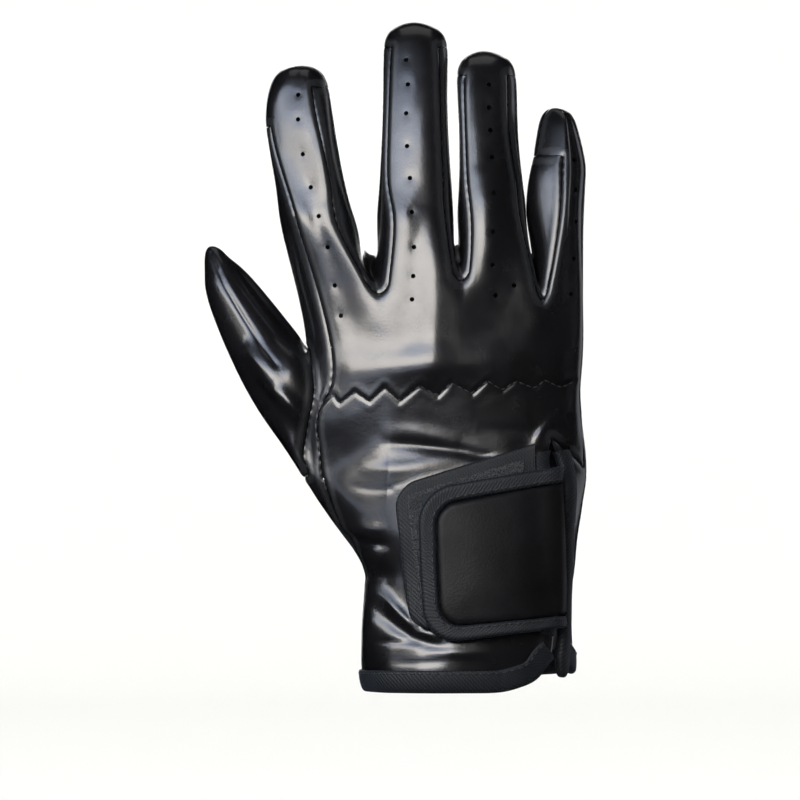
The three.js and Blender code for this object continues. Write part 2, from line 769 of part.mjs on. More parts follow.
function hemLoops(skin, section) {
  const mouth = mouthLoop(skin.surface);
  const up = vector(0, 0, 1);
  const loops = mouth.map((corner) => bindingLoop(pathInto(skin, corner, up), 0, section));
  const start = loopBetween(loops[0], loops[1], hemStart);
  return [start, ...loops.slice(1, -1), loopBetween(loops.at(-2), loops.at(-1), hemEnd)];
}

// The binding's loops beside the slit, from its foot to just under its top, on the back's side
// (-1) or the palm's side (1)
function slitLoops(skin, side, section) {
  const { surface, around } = skin;
  const up = vector(0, 0, 1);
  const across = vector(side, 0, 0);
  const loops = [];
  let corner = cage.slitFoot;
  while (corner !== cage.slitTop) {
    const start = edgeInset(surface.points[corner]);
    loops.push(bindingLoop(pathInto(skin, corner, across), start, section));
    corner = stepFrom(surface, around, corner, up);
  }
  const apex = bindingLoop(pathInto(skin, corner, across), edgeInset(surface.points[corner]), section);
  return [...loops, loopBetween(loops.at(-1), apex, slitTopShare)];
}

const drapeReach = 2.5; // distance over which the leather's slope is measured
const farBack = -100; // y from which the leather is looked for

// A point over the back of the glove at x and z, a given height over the leather
function makeDrape(surface) {
  const positions = surface.points.flatMap((point) => point.toArray());
  const geometry = new THREE.BufferGeometry();
  geometry.setAttribute("position", new THREE.Float32BufferAttribute(positions, 3));
  geometry.setIndex(surface.faces.flatMap(({ corners: [a, b, c, d] }) => [a, b, c, a, c, d]));
  const skin = new THREE.Mesh(geometry, new THREE.MeshBasicMaterial());
  const caster = new THREE.Raycaster();
  const forward = vector(0, 1, 0);
  const depthAt = (x, z) => {
    caster.set(vector(x, farBack, z), forward);
    return caster.intersectObject(skin)[0].point.y;
  };
  const reach = drapeReach;
  return (x, z, lift) => {
    const slopeX = (depthAt(x + reach, z) - depthAt(x - reach, z)) / (2 * reach);
    const slopeZ = (depthAt(x, z + reach) - depthAt(x, z - reach)) / (2 * reach);
    const out = vector(slopeX, -1, slopeZ).normalize();
    return vector(x, depthAt(x, z), z).addScaledVector(out, lift);
  };
}

// The left end of a patch with two rounded corners: how far in the outline starts at a height
function cornerInset(height, share, radius) {
  const fromEnd = Math.min(share, 1 - share) * height;
  if (fromEnd >= radius) return 0;
  return radius - Math.sqrt(radius ** 2 - (radius - fromEnd) ** 2);
}

function patchPoint(patch, s, t) {
  const { topLeft, topRight, bottomRight, bottomLeft, radius } = patch;
  const height = topLeft[1] - bottomLeft[1];
  const left = lerp(bottomLeft[0], topLeft[0], t) + cornerInset(height, t, radius);
  const right = lerp(bottomRight[0], topRight[0], t);
  const x = lerp(left, right, s);
  const along = (x - lerp(bottomLeft[0], topLeft[0], t)) / (right - lerp(bottomLeft[0], topLeft[0], t));
  return [x, lerp(lerp(bottomLeft[1], bottomRight[1], along), lerp(topLeft[1], topRight[1], along), t)];
}

// The rows of a patch lie closer together at its rounded corners
function rowShare(row, rows) {
  return (1 - Math.cos((Math.PI * row) / rows)) / 2;
}

// A flat piece laid over the back: a grid of points on its underside and the same on top
function patchGeometry(drape, patch, liftAt, thickness) {
  const [columns, rows] = [patchColumns, patchRows];
  const points = [];
  const triangles = [];
  for (let row = 0; row <= rows; row += 1) {
    for (let column = 0; column <= columns; column += 1) {
      const [x, z] = patchPoint(patch, column / columns, rowShare(row, rows));
      points.push(drape(x, z, liftAt(x)), drape(x, z, liftAt(x) + thickness));
    }
  }
  const at = (column, row) => 2 * (row * (columns + 1) + column);
  const wallBetween = (a, b) => triangles.push([a, b, b + 1], [a, b + 1, a + 1]);
  for (let row = 0; row < rows; row += 1) {
    for (let column = 0; column < columns; column += 1) {
      const [a, b] = [at(column, row), at(column + 1, row)];
      const [c, d] = [at(column + 1, row + 1), at(column, row + 1)];
      triangles.push([a, c, b], [a, d, c], [a + 1, b + 1, c + 1], [a + 1, c + 1, d + 1]);
    }
    wallBetween(at(0, row + 1), at(0, row));
    wallBetween(at(columns, row), at(columns, row + 1));
  }
  for (let column = 0; column < columns; column += 1) {
    wallBetween(at(column, 0), at(column + 1, 0));
    wallBetween(at(column + 1, rows), at(column, rows));
  }
  return closedGeometry(points, triangles);
}

// The outline of a patch without its right end: along the bottom, up the left, along the top
function patchOutline(patch) {
  const [columns, rows] = [patchColumns, patchRows];
  const along = Array.from({ length: columns + 1 }, (_, column) => column / columns);
  const up = Array.from({ length: rows - 1 }, (_, row) => rowShare(row + 1, rows));
  return [
    ...along.map((s) => patchPoint(patch, 1 - s, 0)),
    ...up.map((t) => patchPoint(patch, 0, t)),
    ...along.map((s) => patchPoint(patch, s, 1)),
  ];
}

// The binding between two outlines with the same number of points
function frameGeometry(drape, outer, inner, liftAt, thickness) {
  const loops = outer.map(([x, z], step) => {
    const [innerX, innerZ] = inner[step];
    const [lift, innerLift] = [liftAt(x), liftAt(innerX)];
    return [
      drape(x, z, lift),
      drape(x, z, lift + thickness),
      drape(innerX, innerZ, innerLift + thickness),
      drape(innerX, innerZ, innerLift),
    ];
  });
  return sweptGeometry(loops, [[0, 0], [0, 1], [-1, 1], [-1, 0]]);
}

function solidOf(geometry) {
  const bare = geometry.clone();
  bare.deleteAttribute("normal");
  bare.deleteAttribute("uv");
  const merged = mergeVertices(bare, 1e-4);
  return new wasm.Manifold(
    new wasm.Mesh({
      numProp: 3,
      vertProperties: merged.attributes.position.array,
      triVerts: new Uint32Array(merged.index.array),
    }),
  );
}

function geometryOf(solid) {
  const { vertProperties, triVerts } = solid.getMesh();
  const geometry = new THREE.BufferGeometry();
  geometry.setAttribute("position", new THREE.BufferAttribute(vertProperties, 3));
  geometry.setIndex(new THREE.BufferAttribute(triVerts, 1));
  return geometry;
}

function holeCutters(drape) {
  const length = 3 * wall;
  return holes.flat().map(([x, z]) => {
    const centre = drape(x, z, 0);
    const out = drape(x, z, 1).sub(centre);
    const drill = new THREE.CylinderGeometry(holeDiameter / 2, holeDiameter / 2, length, drillSides);
    drill.applyQuaternion(new THREE.Quaternion().setFromUnitVectors(vector(0, 1, 0), out));
    return drill.translate(centre.x, centre.y, centre.z);
  });
}

function cutBack(geometry, drape) {
  const cutters = holeCutters(drape).map(solidOf);
  return geometryOf(cutters.reduce((back, cutter) => back.subtract(cutter), solidOf(geometry)));
}

const glove = new THREE.Group();

function addPiece(name, geometry, look) {
  const mesh = new THREE.Mesh(geometry, new THREE.MeshStandardMaterial(look));
  mesh.name = name;
  glove.add(mesh);
}

function tabLiftAt(x) {
  return lerp(tabLift, tabEndLift, smoothstep(x, tabDrop.from, tabDrop.to));
}

function growPatch(patch, gap) {
  const moved = (corner, x, z) => [corner[0] + x * gap, corner[1] + z * gap];
  return {
    topLeft: moved(patch.topLeft, -1, 1),
    topRight: moved(patch.topRight, 0, 1),
    bottomRight: moved(patch.bottomRight, 0, -1),
    bottomLeft: moved(patch.bottomLeft, -1, -1),
    radius: patch.radius + gap,
  };
}

function addClosure(drape) {
  addPiece("loop_pad", patchGeometry(drape, pad, () => padLift, padThickness), pileLook);
  addPiece("tab_panel", patchGeometry(drape, tabInner, tabLiftAt, tabThickness), leatherLook);
  const outer = patchOutline(tabOuter);
  const inner = patchOutline(growPatch(tabInner, seamGap));
  addPiece("tab_binding", frameGeometry(drape, outer, inner, tabLiftAt, tabThickness), clothLook);
}

function addBindings(surface, normals) {
  const skin = { surface, normals, around: neighbours(surface) };
  const hemSection = bindingSection(hemReach, bindingThickness, []);
  addPiece("hem_binding", sweptGeometry(hemLoops(skin, hemSection), hemSection), clothLook);
  const backSection = bindingSection(slitBackReach, bindingThickness, [slitBackReach / 2, slitBend]);
  const back = slitLoops(skin, -1, backSection);
  const overHem = loopBetween(back[1], back[2], slitBackStart);
  addPiece("slit_binding_back", sweptGeometry([overHem, ...back.slice(2)], backSection), clothLook);
  const palmSection = palmBindingSection(slitReach);
  const palm = slitLoops(skin, 1, palmSection);
  const down = vector(0, 0, -slitFootLength);
  const foot = slitLoops(skin, 1, palmBindingSection(slitFootReach))[0].map((point) => point.add(down));
  addPiece("slit_binding_palm", sweptGeometry([foot, ...palm], palmSection), clothLook);
}

function buildGlove() {
  const surface = gloveSurface();
  const normals = pointNormals(surface);
  const drape = makeDrape(surface);
  const mouth = new Set(mouthLoop(surface));
  const leatherPanels = ["back_panel", "palm_panel", ...fourchettes, "thumb"];
  leatherPanels.forEach((panel) => {
    const geometry = panelGeometry(surface, normals, panel, mouth);
    addPiece(panel, panel === "back_panel" ? cutBack(geometry, drape) : geometry, leatherLook);
  });
  addBindings(surface, normals);
  addClosure(drape);
}

buildGlove();
export default glove;
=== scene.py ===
# Driving glove, a right one, dressed over its CAD frame.
# The tables are in millimetres, as in the part's source; every mesh is made in metres.
import json
import math
import random

import bpy
import numpy as np
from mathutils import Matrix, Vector, noise
from mathutils.bvhtree import BVHTree
from mathutils.kdtree import KDTree

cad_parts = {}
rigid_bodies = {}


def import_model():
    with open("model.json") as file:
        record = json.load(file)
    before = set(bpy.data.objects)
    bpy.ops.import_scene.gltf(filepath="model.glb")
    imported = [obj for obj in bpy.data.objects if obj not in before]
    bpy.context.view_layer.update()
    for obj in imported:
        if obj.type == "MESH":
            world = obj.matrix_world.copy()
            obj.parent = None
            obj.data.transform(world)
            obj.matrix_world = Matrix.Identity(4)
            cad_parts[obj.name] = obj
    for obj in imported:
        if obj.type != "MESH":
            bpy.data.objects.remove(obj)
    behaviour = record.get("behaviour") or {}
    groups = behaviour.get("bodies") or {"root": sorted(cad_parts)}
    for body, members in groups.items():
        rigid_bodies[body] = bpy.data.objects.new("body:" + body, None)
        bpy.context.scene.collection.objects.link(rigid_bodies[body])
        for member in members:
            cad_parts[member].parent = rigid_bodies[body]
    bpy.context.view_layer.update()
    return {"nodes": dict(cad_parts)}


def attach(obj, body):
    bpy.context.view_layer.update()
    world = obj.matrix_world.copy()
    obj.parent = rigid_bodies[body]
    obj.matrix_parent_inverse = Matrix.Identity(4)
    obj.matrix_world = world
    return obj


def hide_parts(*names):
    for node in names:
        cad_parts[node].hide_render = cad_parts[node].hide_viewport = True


for leftover in list(bpy.data.objects):
    bpy.data.objects.remove(leftover)
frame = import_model()
print("frame loaded:", len(frame["nodes"]), "nodes")

mm = 0.001
bodyName = "root"


def addToScene(name, data):
    made = bpy.data.objects.new(name, data)
    bpy.context.scene.collection.objects.link(made)
    return made


# Camera: a long lens level with the middle of the photograph
view = {"x": -22.75, "z": 100.1, "distance": 2500, "width": 280}
facingGlove = (math.radians(90), 0, 0)

lensData = bpy.data.cameras.new("camera")
lensData.sensor_width = 36
lensData.lens = lensData.sensor_width * view["distance"] / view["width"]
lensData.clip_end = 20
camera = addToScene("camera", lensData)
camera.location = (view["x"] * mm, -view["distance"] * mm, view["z"] * mm)
camera.rotation_euler = facingGlove
bpy.context.scene.camera = camera


# Colours and shader nodes
def linearColour(hexColour):
    parts = [int(hexColour[i : i + 2], 16) / 255 for i in (1, 3, 5)]
    return [p / 12.92 if p <= 0.04045 else ((p + 0.055) / 1.055) ** 2.4 for p in parts] + [1]


def addNode(tree, kind, values={}, links={}):
    node = tree.nodes.new("ShaderNode" + kind)
    for name, value in values.items():
        if isinstance(name, str) and hasattr(node, name):
            setattr(node, name, value)
        else:
            node.inputs[name].default_value = value
    for name, source in links.items():
        tree.links.new(source, node.inputs[name])
    return node


def newMaterial(name, shaderValues):
    material = bpy.data.materials.new(name)
    material.use_nodes = True
    tree = material.node_tree
    shader = tree.nodes["Principled BSDF"]
    for socket, value in shaderValues.items():
        shader.inputs[socket].default_value = value
    return material, tree, shader


def colourRange(tree, factor, darkHex, lightHex, low=0.0, high=1.0):
    span = addNode(tree, "MapRange", {"From Min": low, "From Max": high}, {"Value": factor})
    mix = addNode(tree, "Mix", {"data_type": "RGBA"}, {"Factor": span.outputs[0]})
    mix.inputs[6].default_value = linearColour(darkHex)
    mix.inputs[7].default_value = linearColour(lightHex)
    return mix.outputs[2]


# Sheep leather, drum dyed black and finished with a thin gloss: a smooth grain with fine pores,
# clear soft reflections, and a slightly duller, greyer edge where the seams rub.
leatherLook = {
    "dark": "#070708",
    "light": "#0b0b0d",
    "cloudSize": 25,  # uneven patches of the dye
    "cloudRange": (0.35, 0.65),
    "rubbed": "#17181a",
    "rubbedBlur": 0.12,  # added to the roughness there
    "roughness": (0.22, 0.28),
    "shine": 0.5,
    "finish": 0.3,
    "finishBlur": 0.12,
    "poreSize": 0.8,  # real pores are about 0.2 mm; drawn coarser so that they show
    "poreDepth": 0.03,
    "poreStrength": 0.6,
    "creaseSize": 6,
    "creaseRange": (0.3, 0.7),
    "creaseDepth": 0.05,
    "creaseStrength": 0.5,
}


def makeLeather(name, look):
    material, tree, shader = newMaterial(
        name,
        {"IOR": 1.5, "Specular IOR Level": look["shine"], "Coat Weight": look["finish"],
         "Coat Roughness": look["finishBlur"], "Coat IOR": 1.45},
    )
    place = addNode(tree, "TexCoord").outputs["Object"]
    cloud = addNode(
        tree, "TexNoise", {"Scale": 1 / (look["cloudSize"] * mm), "Detail": 3}, {"Vector": place}
    )
    base = colourRange(tree, cloud.outputs["Fac"], look["dark"], look["light"], *look["cloudRange"])
    worn = addNode(tree, "Attribute", {"attribute_name": "rubbed"}).outputs["Fac"]
    mix = addNode(tree, "Mix", {"data_type": "RGBA"}, {"Factor": worn, 6: base})
    mix.inputs[7].default_value = linearColour(look["rubbed"])
    tree.links.new(mix.outputs[2], shader.inputs["Base Color"])
    pores = addNode(
        tree,
        "TexVoronoi",
        {"Scale": 1 / (look["poreSize"] * mm), "feature": "SMOOTH_F1", "Smoothness": 0.6},
        {"Vector": place},
    )
    creases = addNode(
        tree, "TexNoise", {"Scale": 1 / (look["creaseSize"] * mm), "Detail": 4}, {"Vector": place}
    )
    spanEnds = ("From Min", "From Max", "To Min", "To Max")
    span = dict(zip(spanEnds, look["creaseRange"] + look["roughness"]))
    rough = addNode(tree, "MapRange", span, {"Value": creases.outputs["Fac"]})
    blur = {"operation": "MULTIPLY_ADD", 1: look["rubbedBlur"]}
    dull = addNode(tree, "Math", blur, {0: worn, 2: rough.outputs[0]})
    tree.links.new(dull.outputs[0], shader.inputs["Roughness"])
    broad = addNode(
        tree,
        "Bump",
        {"Distance": look["creaseDepth"] * mm, "Strength": look["creaseStrength"]},
        {"Height": creases.outputs["Fac"]},
    )
    fine = addNode(
        tree,
        "Bump",
        {"Distance": look["poreDepth"] * mm, "Strength": look["poreStrength"]},
        {"Height": pores.outputs["Distance"], "Normal": broad.outputs[0]},
    )
    tree.links.new(fine.outputs[0], shader.inputs["Normal"])
    return material


gloveLeather = makeLeather("gloveLeather", leatherLook)
# The tab's leather has lost its finish: duller, and its pores show more
dullFinish = {"roughness": (0.38, 0.46), "shine": 0.12, "finish": 0.01, "finishBlur": 0.3}
tabLeather = makeLeather("tabLeather", {**leatherLook, **dullFinish, "poreDepth": 0.06})


# A plain material with one fine pattern in its colour and, where it has a depth, in its relief
def makePlain(name, shaderValues, look):
    material, tree, shader = newMaterial(name, shaderValues)
    place = addNode(tree, "TexCoord").outputs["Object"]
    settings = {"Scale": 1 / (look["size"] * mm), **look.get("settings", {})}
    grain = addNode(tree, look["pattern"], settings, {"Vector": place}).outputs[0]
    colour = colourRange(tree, grain, look["dark"], look["light"], *look["range"])
    tree.links.new(colour, shader.inputs["Base Color"])
    if "depth" in look:
        relief = addNode(tree, "Bump", {"Distance": look["depth"] * mm}, {"Height": grain})
        tree.links.new(relief.outputs[0], shader.inputs["Normal"])
    return material


# Suede, the flesh side of the leather inside the glove: short nap, no gloss
suedeLook = {
    "pattern": "TexNoise", "settings": {"Detail": 4}, "size": 0.5, "depth": 0.15,
    "dark": "#17181a", "light": "#242527", "range": (0.3, 0.7),
}
leatherInside = makePlain(
    "leatherInside",
    {"Roughness": 0.92, "IOR": 1.45, "Sheen Weight": 0.25, "Sheen Roughness": 0.5},
    suedeLook,
)

# Woven polyester tape, piece dyed: matt, with a fine twill and a soft sheen at its folds.
# Its UV map counts millimetres, along the tape and across it.
tapeLook = {
    "dark": "#080a0d",
    "light": "#14191f",
    "twill": 1.0,  # a real rib is 0.5 mm; drawn coarser so that it shows
    "rib": 0.55,
    "depth": 0.14,
    "sheen": "#8fa0b8",
}
diagonal = 1.41  # a diagonal wave is this much wider than its scale says


def makeTape(name, look):
    material, tree, shader = newMaterial(
        name,
        {"Roughness": 0.5, "IOR": 1.5, "Specular IOR Level": 0.3, "Sheen Weight": 0.07,
         "Sheen Roughness": 0.4, "Sheen Tint": linearColour(look["sheen"])},
    )
    along = addNode(tree, "UVMap", {"uv_map": "tapeMap"}).outputs[0]
    bandsPerUnit = math.pi / 10  # a wave texture of scale 1 repeats at this distance
    twillScale = bandsPerUnit / look["twill"] * diagonal
    twill = addNode(
        tree,
        "TexWave",
        {"bands_direction": "DIAGONAL", "Scale": twillScale, "Distortion": 0.6},
        {"Vector": along},
    )
    ribs = addNode(
        tree,
        "TexWave",
        {"bands_direction": "X", "Scale": bandsPerUnit / look["rib"], "Distortion": 0.3},
        {"Vector": along},
    )
    weave = addNode(
        tree, "Math", {"operation": "MULTIPLY"}, {0: twill.outputs["Fac"], 1: ribs.outputs["Fac"]}
    )
    colour = colourRange(tree, weave.outputs[0], look["dark"], look["light"], 0.0, 0.8)
    tree.links.new(colour, shader.inputs["Base Color"])
    bump = addNode(tree, "Bump", {"Distance": look["depth"] * mm}, {"Height": weave.outputs[0]})
    tree.links.new(bump.outputs[0], shader.inputs["Normal"])
    return material


bindingTape = makeTape("bindingTape", tapeLook)

# Knitted nylon with a pile of loops: very matt, each loop a thin bright arc over a dark ground
pileLook = {
    "pattern": "TexVoronoi", "size": 0.7, "depth": 0.2,
    "dark": "#0c0e11", "light": "#1a1f25", "range": (0, 1),
    "fuzzSize": 2, "fuzz": (0.55, 0.9),  # size and roughness of the loops' uneven patches
}
pileGround = makePlain(
    "pileGround",
    {"Roughness": 0.95, "IOR": 1.5, "Sheen Weight": 0.15, "Sheen Roughness": 0.5},
    pileLook,
)


def makePileLoop(look):
    material, tree, shader = newMaterial(
        "pileLoop", {"Base Color": linearColour(look["light"]), "IOR": 1.53, "Sheen Weight": 0.2}
    )
    place = addNode(tree, "TexCoord").outputs["Object"]
    fuzz = addNode(tree, "TexNoise", {"Scale": 1 / (look["fuzzSize"] * mm)}, {"Vector": place})
    low, high = look["fuzz"]
    rough = addNode(tree, "MapRange", {"To Min": low, "To Max": high}, {"Value": fuzz.outputs["Fac"]})
    tree.links.new(rough.outputs[0], shader.inputs["Roughness"])
    return material


pileLoop = makePileLoop(pileLook)

# Bonded polyester sewing thread, black: a soft lustre, twisted
threadLook = {
    "pattern": "TexNoise", "size": 0.4, "dark": "#0b0c0e", "light": "#17191c", "range": (0.35, 0.65)
}
sewingThread = makePlain("sewingThread", {"Roughness": 0.5, "IOR": 1.55}, threadLook)
print("materials made")


# The glove's surface: a cage of four-sided faces through the tables, smoothed by subdivision.
# +Z runs from the cuff to the fingertips, +X towards the little finger and -Y out of the back.
def table(names, rows):
    return [dict(zip(names.split(), row)) for row in rows]


glove = {
    "wall": 1.2,
    "bodyFullness": 2.4,  # exponent of the body's rounded section, 2 is an ellipse
    "fingerFullness": 2.2,
    "fingerBackFullness": 2.9,  # flatter, with rounder edges at its seams
    "palmHalfShare": 0.35,
    "crownRise": 0.74,
    "crownWidth": 0.66,
    "webDepth": 1,
    "riseStart": 0.6,
    "riseCurve": 2.8,
    "fittingSteps": 8,  # how often the cage is moved so that the smooth surface meets the tables
    "detail": 4,  # subdivision steps
}
columns = 12
rightSide = columns
leftSide = 2 * columns + 1
slitColumn = columns - 1
slitRow = 4
holeFirst = 1
holeLast = 5

knuckles = table(
    "x back palm across",
    [
        (-51.8, 138.6, 143.8, -0.93),
        (-43.0, 139.0, 148.4, -0.72),
        (-34.0, 140.7, 151.2, -0.53),
        (-27.0, 140.3, 151.9, -0.36),
        (-15.4, 141.5, 152.6, -0.13),
        (-4.2, 144.2, 154.0, 0.08),
        (1.2, 144.6, 154.0, 0.19),
        (13.0, 141.5, 152.6, 0.42),
        (24.9, 139.2, 151.2, 0.62),
        (28.6, 138.2, 150.5, 0.76),
        (35.4, 138.6, 147.7, 0.89),
        (40.0, 138.6, 143.5, 0.97),
    ],
)
sections = table(
    "z side left strip seam slit right rise back palm",
    [
        (138.6, 140.0, -58.8, -58.8, -51.8, 40.0, 41.3, 0, 13.0, 14.5),
        (117.6, 116.5, -55.3, -55.0, -46.9, 39.6, 41.3, 0, 14.5, 17.5),
        (104.3, 102.5, -56.7, -52.9, -47.2, 38.6, 40.3, 0, 15.0, 19.0),
        (95.0, 89.0, -58.6, -54.2, -51.8, 37.0, 41.3, 1, 15.5, 20.5),
        (84.0, 76.3, -59.5, -56.3, -52.1, 30.1, 41.9, 2.8, 16.0, 21.5),
        (73.2, 67.5, -58.1, -56.0, -50.8, 32.2, 41.2, 0, 17.0, 22.0),
        (63.3, 60.0, -50.4, -50.4, -47.2, 32.6, 40.3, 0, 18.0, 22.0),
        (52.8, 51.0, -42.7, -42.7, -41.3, 32.6, 39.1, 0, 19.5, 22.0),
        (41.3, 41.3, -35.0, -35.0, -34.4, 32.6, 38.3, 0, 21.0, 22.0),
        (30.1, 31.0, -34.7, -34.7, -34.0, 32.6, 36.9, 0, 22.5, 22.5),
        (16.1, 20.0, -35.2, -35.2, -34.6, 32.2, 37.4, 2, 23.5, 23.0),
        (-0.5, 6.0, -34.2, -34.2, -33.6, 31.4, 37.6, 11.5, 23.5, 23.5),
    ],
)
fingerTips = [(-57.0, 5, 217.6), (-17.8, 8.5, 233.0), (6.8, 7, 222.8), (31.6, 6.5, 202.8)]
fingerRows = [
    [
        (160.3, -64.4, -37.5, -58.4, -44.1, 1, 23, -5),
        (172.9, -66.2, -41.3, -62.0, -46.6, 1.5, 21, -7),
        (195.6, -69.3, -45.5, -68.2, -51.5, 3.5, 19.5, -7),
        (209.5, -68.4, -47.9, -65.6, -53.4, 4.5, 16.5, -7),
    ],
    [
        (163.0, -31.0, -3.8, -25.2, -6.9, 0.3, 24, -1),
        (177.1, -29.9, -4.7, -27.4, -7.4, 1, 22, -2),
        (203.0, -28.7, -6.0, -26.9, -8.4, 3.2, 19.5, -2),
        (223.6, -28.4, -6.2, -25.9, -9.1, 7, 15.5, -2),
    ],
    [
        (164.0, -2.9, 21.4, 1.8, 19.3, 0.5, 23, 6),
        (176.5, -2.3, 20.3, 0.4, 18.2, 1, 21, 9),
        (196.0, -2.3, 18.8, -0.3, 15.4, 3, 18.5, 11),
        (213.6, -2.8, 17.9, -0.3, 15.0, 5.5, 16, 11),
    ],
    [
        (163.0, 22.1, 41.6, 32.7, 39.7, 1.7, 19.5, 8),
        (177.8, 22.9, 42.3, 33.6, 40.6, 2.5, 17.5, 12),
        (185.5, 24.5, 41.8, 33.9, 40.2, 3.5, 16, 12),
        (195.6, 26.2, 39.5, 33.9, 38.0, 5.2, 13, 12),
    ],
]
fingerSections = [table("z left right seamLeft seamRight mid thick roll", rows) for rows in fingerRows]
webs = table("start end z", [(-35.0, -31.2, 148.4), (-3.5, -2.4, 152.6), (22.0, 23.6, 149.0)])
thumbSections = table(
    "innerX innerZ outerX outerZ mid thick",
    [
        (-56.9, 120.9, -69.3, 91.7, 4, 25),
        (-63.0, 128.8, -81.0, 112.0, 8, 22.5),
        (-74.9, 143.2, -90.0, 134.0, 10.5, 17),
        (-82.6, 150.2, -91.5, 143.8, 11.5, 11.5),
    ],
)
thumbTip = [(-86.0, 153.4), (-89.7, 154.2), (-91.5, 150.6)]

panels = [
    "backPanel",
    "palmPanel",
    "fourchetteIndexMiddle",
    "fourchetteMiddleRing",
    "fourchetteRingLittle",
    "thumbPanel",
]
backId, palmId, firstFourchette, thumbId = 0, 1, 2, 5
cage = {"points": [], "faces": [], "panels": []}


def lerp(a, b, t):
    return a + (b - a) * t


def smoothStep(x, low, high):
    t = np.clip((x - low) / (high - low), 0, 1)
    return t * t * (3 - 2 * t)


def addPoint(x, y, z):
    cage["points"].append((x, y, z))
    return len(cage["points"]) - 1


def addFace(panel, *corners):
    cage["faces"].append(corners)
    cage["panels"].append(panel)


def addBand(lower, upper, panelAt):
    for place in range(len(lower)):
        after = (place + 1) % len(lower)
        panel = panelAt(place)
        if panel is not None:
            addFace(panel, lower[place], lower[after], upper[after], upper[place])


# Depth of a rounded section at x, on the back (side -1) or the palm (side 1)
def sectionDepth(section, x, side, fullness, back, palm):
    across = (2 * x - section["left"] - section["right"]) / (section["right"] - section["left"])
    share = (1 - min(abs(across), 1) ** fullness) ** (1 / fullness)
    return side * share * (back if side < 0 else palm)


def bodyRing(section, row):
    def depthAt(x, side):
        fullness = glove["bodyFullness"]
        return sectionDepth(section, x, side, fullness, section["back"], section["palm"])

    ring = []
    evenness = min(row / 2, 1)
    first, last = knuckles[0]["x"], knuckles[-1]["x"]
    for column, knuckle in enumerate(knuckles):
        share = lerp((knuckle["x"] - first) / (last - first), column / slitColumn, evenness)
        x = lerp(section["seam"], section["slit"], share)
        risen = max((share - glove["riseStart"]) / (1 - glove["riseStart"]), 0)
        z = section["z"] + section["rise"] * risen ** glove["riseCurve"]
        ring.append(addPoint(x, depthAt(x, -1), knuckle["back"] if row == 0 else z))
    ring.append(addPoint(section["right"], 0, section["side"]))
    for column in reversed(range(columns)):
        x = lerp(section["left"], section["right"], (1 + knuckles[column]["across"]) / 2)
        z = lerp(section["z"], section["side"], (1 + column) / (1 + columns))
        inHole = column == 0 and holeFirst < row < holeLast
        z = knuckles[column]["palm"] if row == 0 else z
        ring.append(None if inHole else addPoint(x, depthAt(x, 1), z))
    ring.append(addPoint(section["strip"], depthAt(section["strip"], -1), section["z"]))
    return ring


def bodyPanel(place, row):
    if holeFirst <= row < holeLast and place in (leftSide - 1, leftSide - 2):
        return None
    if place < slitColumn or (place == slitColumn and row < slitRow):
        return backId
    return palmId


# Places 0 and 1 of a finger are its back, 2 and 3 its right side, 4 and 5 its palm and 6 and 7
# its left side
def fingerPanel(place, finger, band):
    lastBand = len(fingerSections[finger]) - 1
    if place < 2:
        return backId
    if place in (4, 5):
        return palmId
    right = place < 4
    little = len(fingerSections) - 1
    edge = backId if place in (2, 7) else palmId
    if band > lastBand:
        return edge
    if finger == 0 and not right:
        return edge if band == lastBand else palmId
    if finger == little and (right or band == lastBand):
        return edge
    return firstFourchette + (finger if right else finger - 1)


# roll turns a finger's back towards +x, in degrees; it moves its points in depth alone
def fingerRing(section):
    centre = (section["left"] + section["right"]) / 2
    slope = math.tan(math.radians(section["roll"]))

    def place(x, side=0):
        thick = section["thick"] / 2
        fullness = glove["fingerBackFullness"] if side < 0 else glove["fingerFullness"]
        depth = sectionDepth(section, x, side, fullness, thick, thick) if side else 0
        return addPoint(x, section["mid"] + depth + slope * (x - centre), section["z"])

    middle = (section["seamLeft"] + section["seamRight"]) / 2
    palmHalf = glove["palmHalfShare"] * (section["right"] - section["left"])
    ring = [place(x, -1) for x in (section["seamLeft"], middle, section["seamRight"])]
    ring.append(place(section["right"]))
    ring += [place(centre + step * palmHalf, 1) for step in (1, 0, -1)]
    ring.append(place(section["left"]))
    return ring


def crownRing(finger):
    tipX, tipY, tipZ = fingerTips[finger]
    last = fingerSections[finger][-1]
    near = {
        name: lerp(tipX, last[name], glove["crownWidth"])
        for name in ("left", "right", "seamLeft", "seamRight")
    }
    z = lerp(last["z"], tipZ, glove["crownRise"])
    thick = last["thick"] * glove["crownWidth"]
    return fingerRing({**near, "z": z, "mid": tipY, "thick": thick, "roll": last["roll"]})


def addFingers(top):
    sides = [[addPoint(web[end], glove["webDepth"], web["z"]) for end in ("start", "end")] for web in webs]
    palm = [top[leftSide - 1 - column] for column in range(columns)]
    for number, rows in enumerate(fingerSections):
        first = 3 * number
        lower = [
            *top[first : first + 3],
            sides[number][0] if number < len(webs) else top[rightSide],
            *reversed(palm[first : first + 3]),
            sides[number - 1][1] if number > 0 else top[leftSide],
        ]
        for band, section in enumerate(rows + [None]):
            upper = fingerRing(section) if section else crownRing(number)
            addBand(lower, upper, lambda place: fingerPanel(place, number, band))
            lower = upper
        tip = addPoint(*fingerTips[number])
        addFace(backId, lower[0], lower[1], tip, lower[7])
        addFace(backId, lower[1], lower[2], lower[3], tip)
        addFace(palmId, tip, lower[3], lower[4], lower[5])
        addFace(palmId, lower[7], tip, lower[5], lower[6])
        if number < len(webs):
            right, left = sides[number]
            fourchette = firstFourchette + number
            addFace(fourchette, top[first + 2], top[first + 3], left, right)
            addFace(fourchette, right, left, palm[first + 3], palm[first + 2])


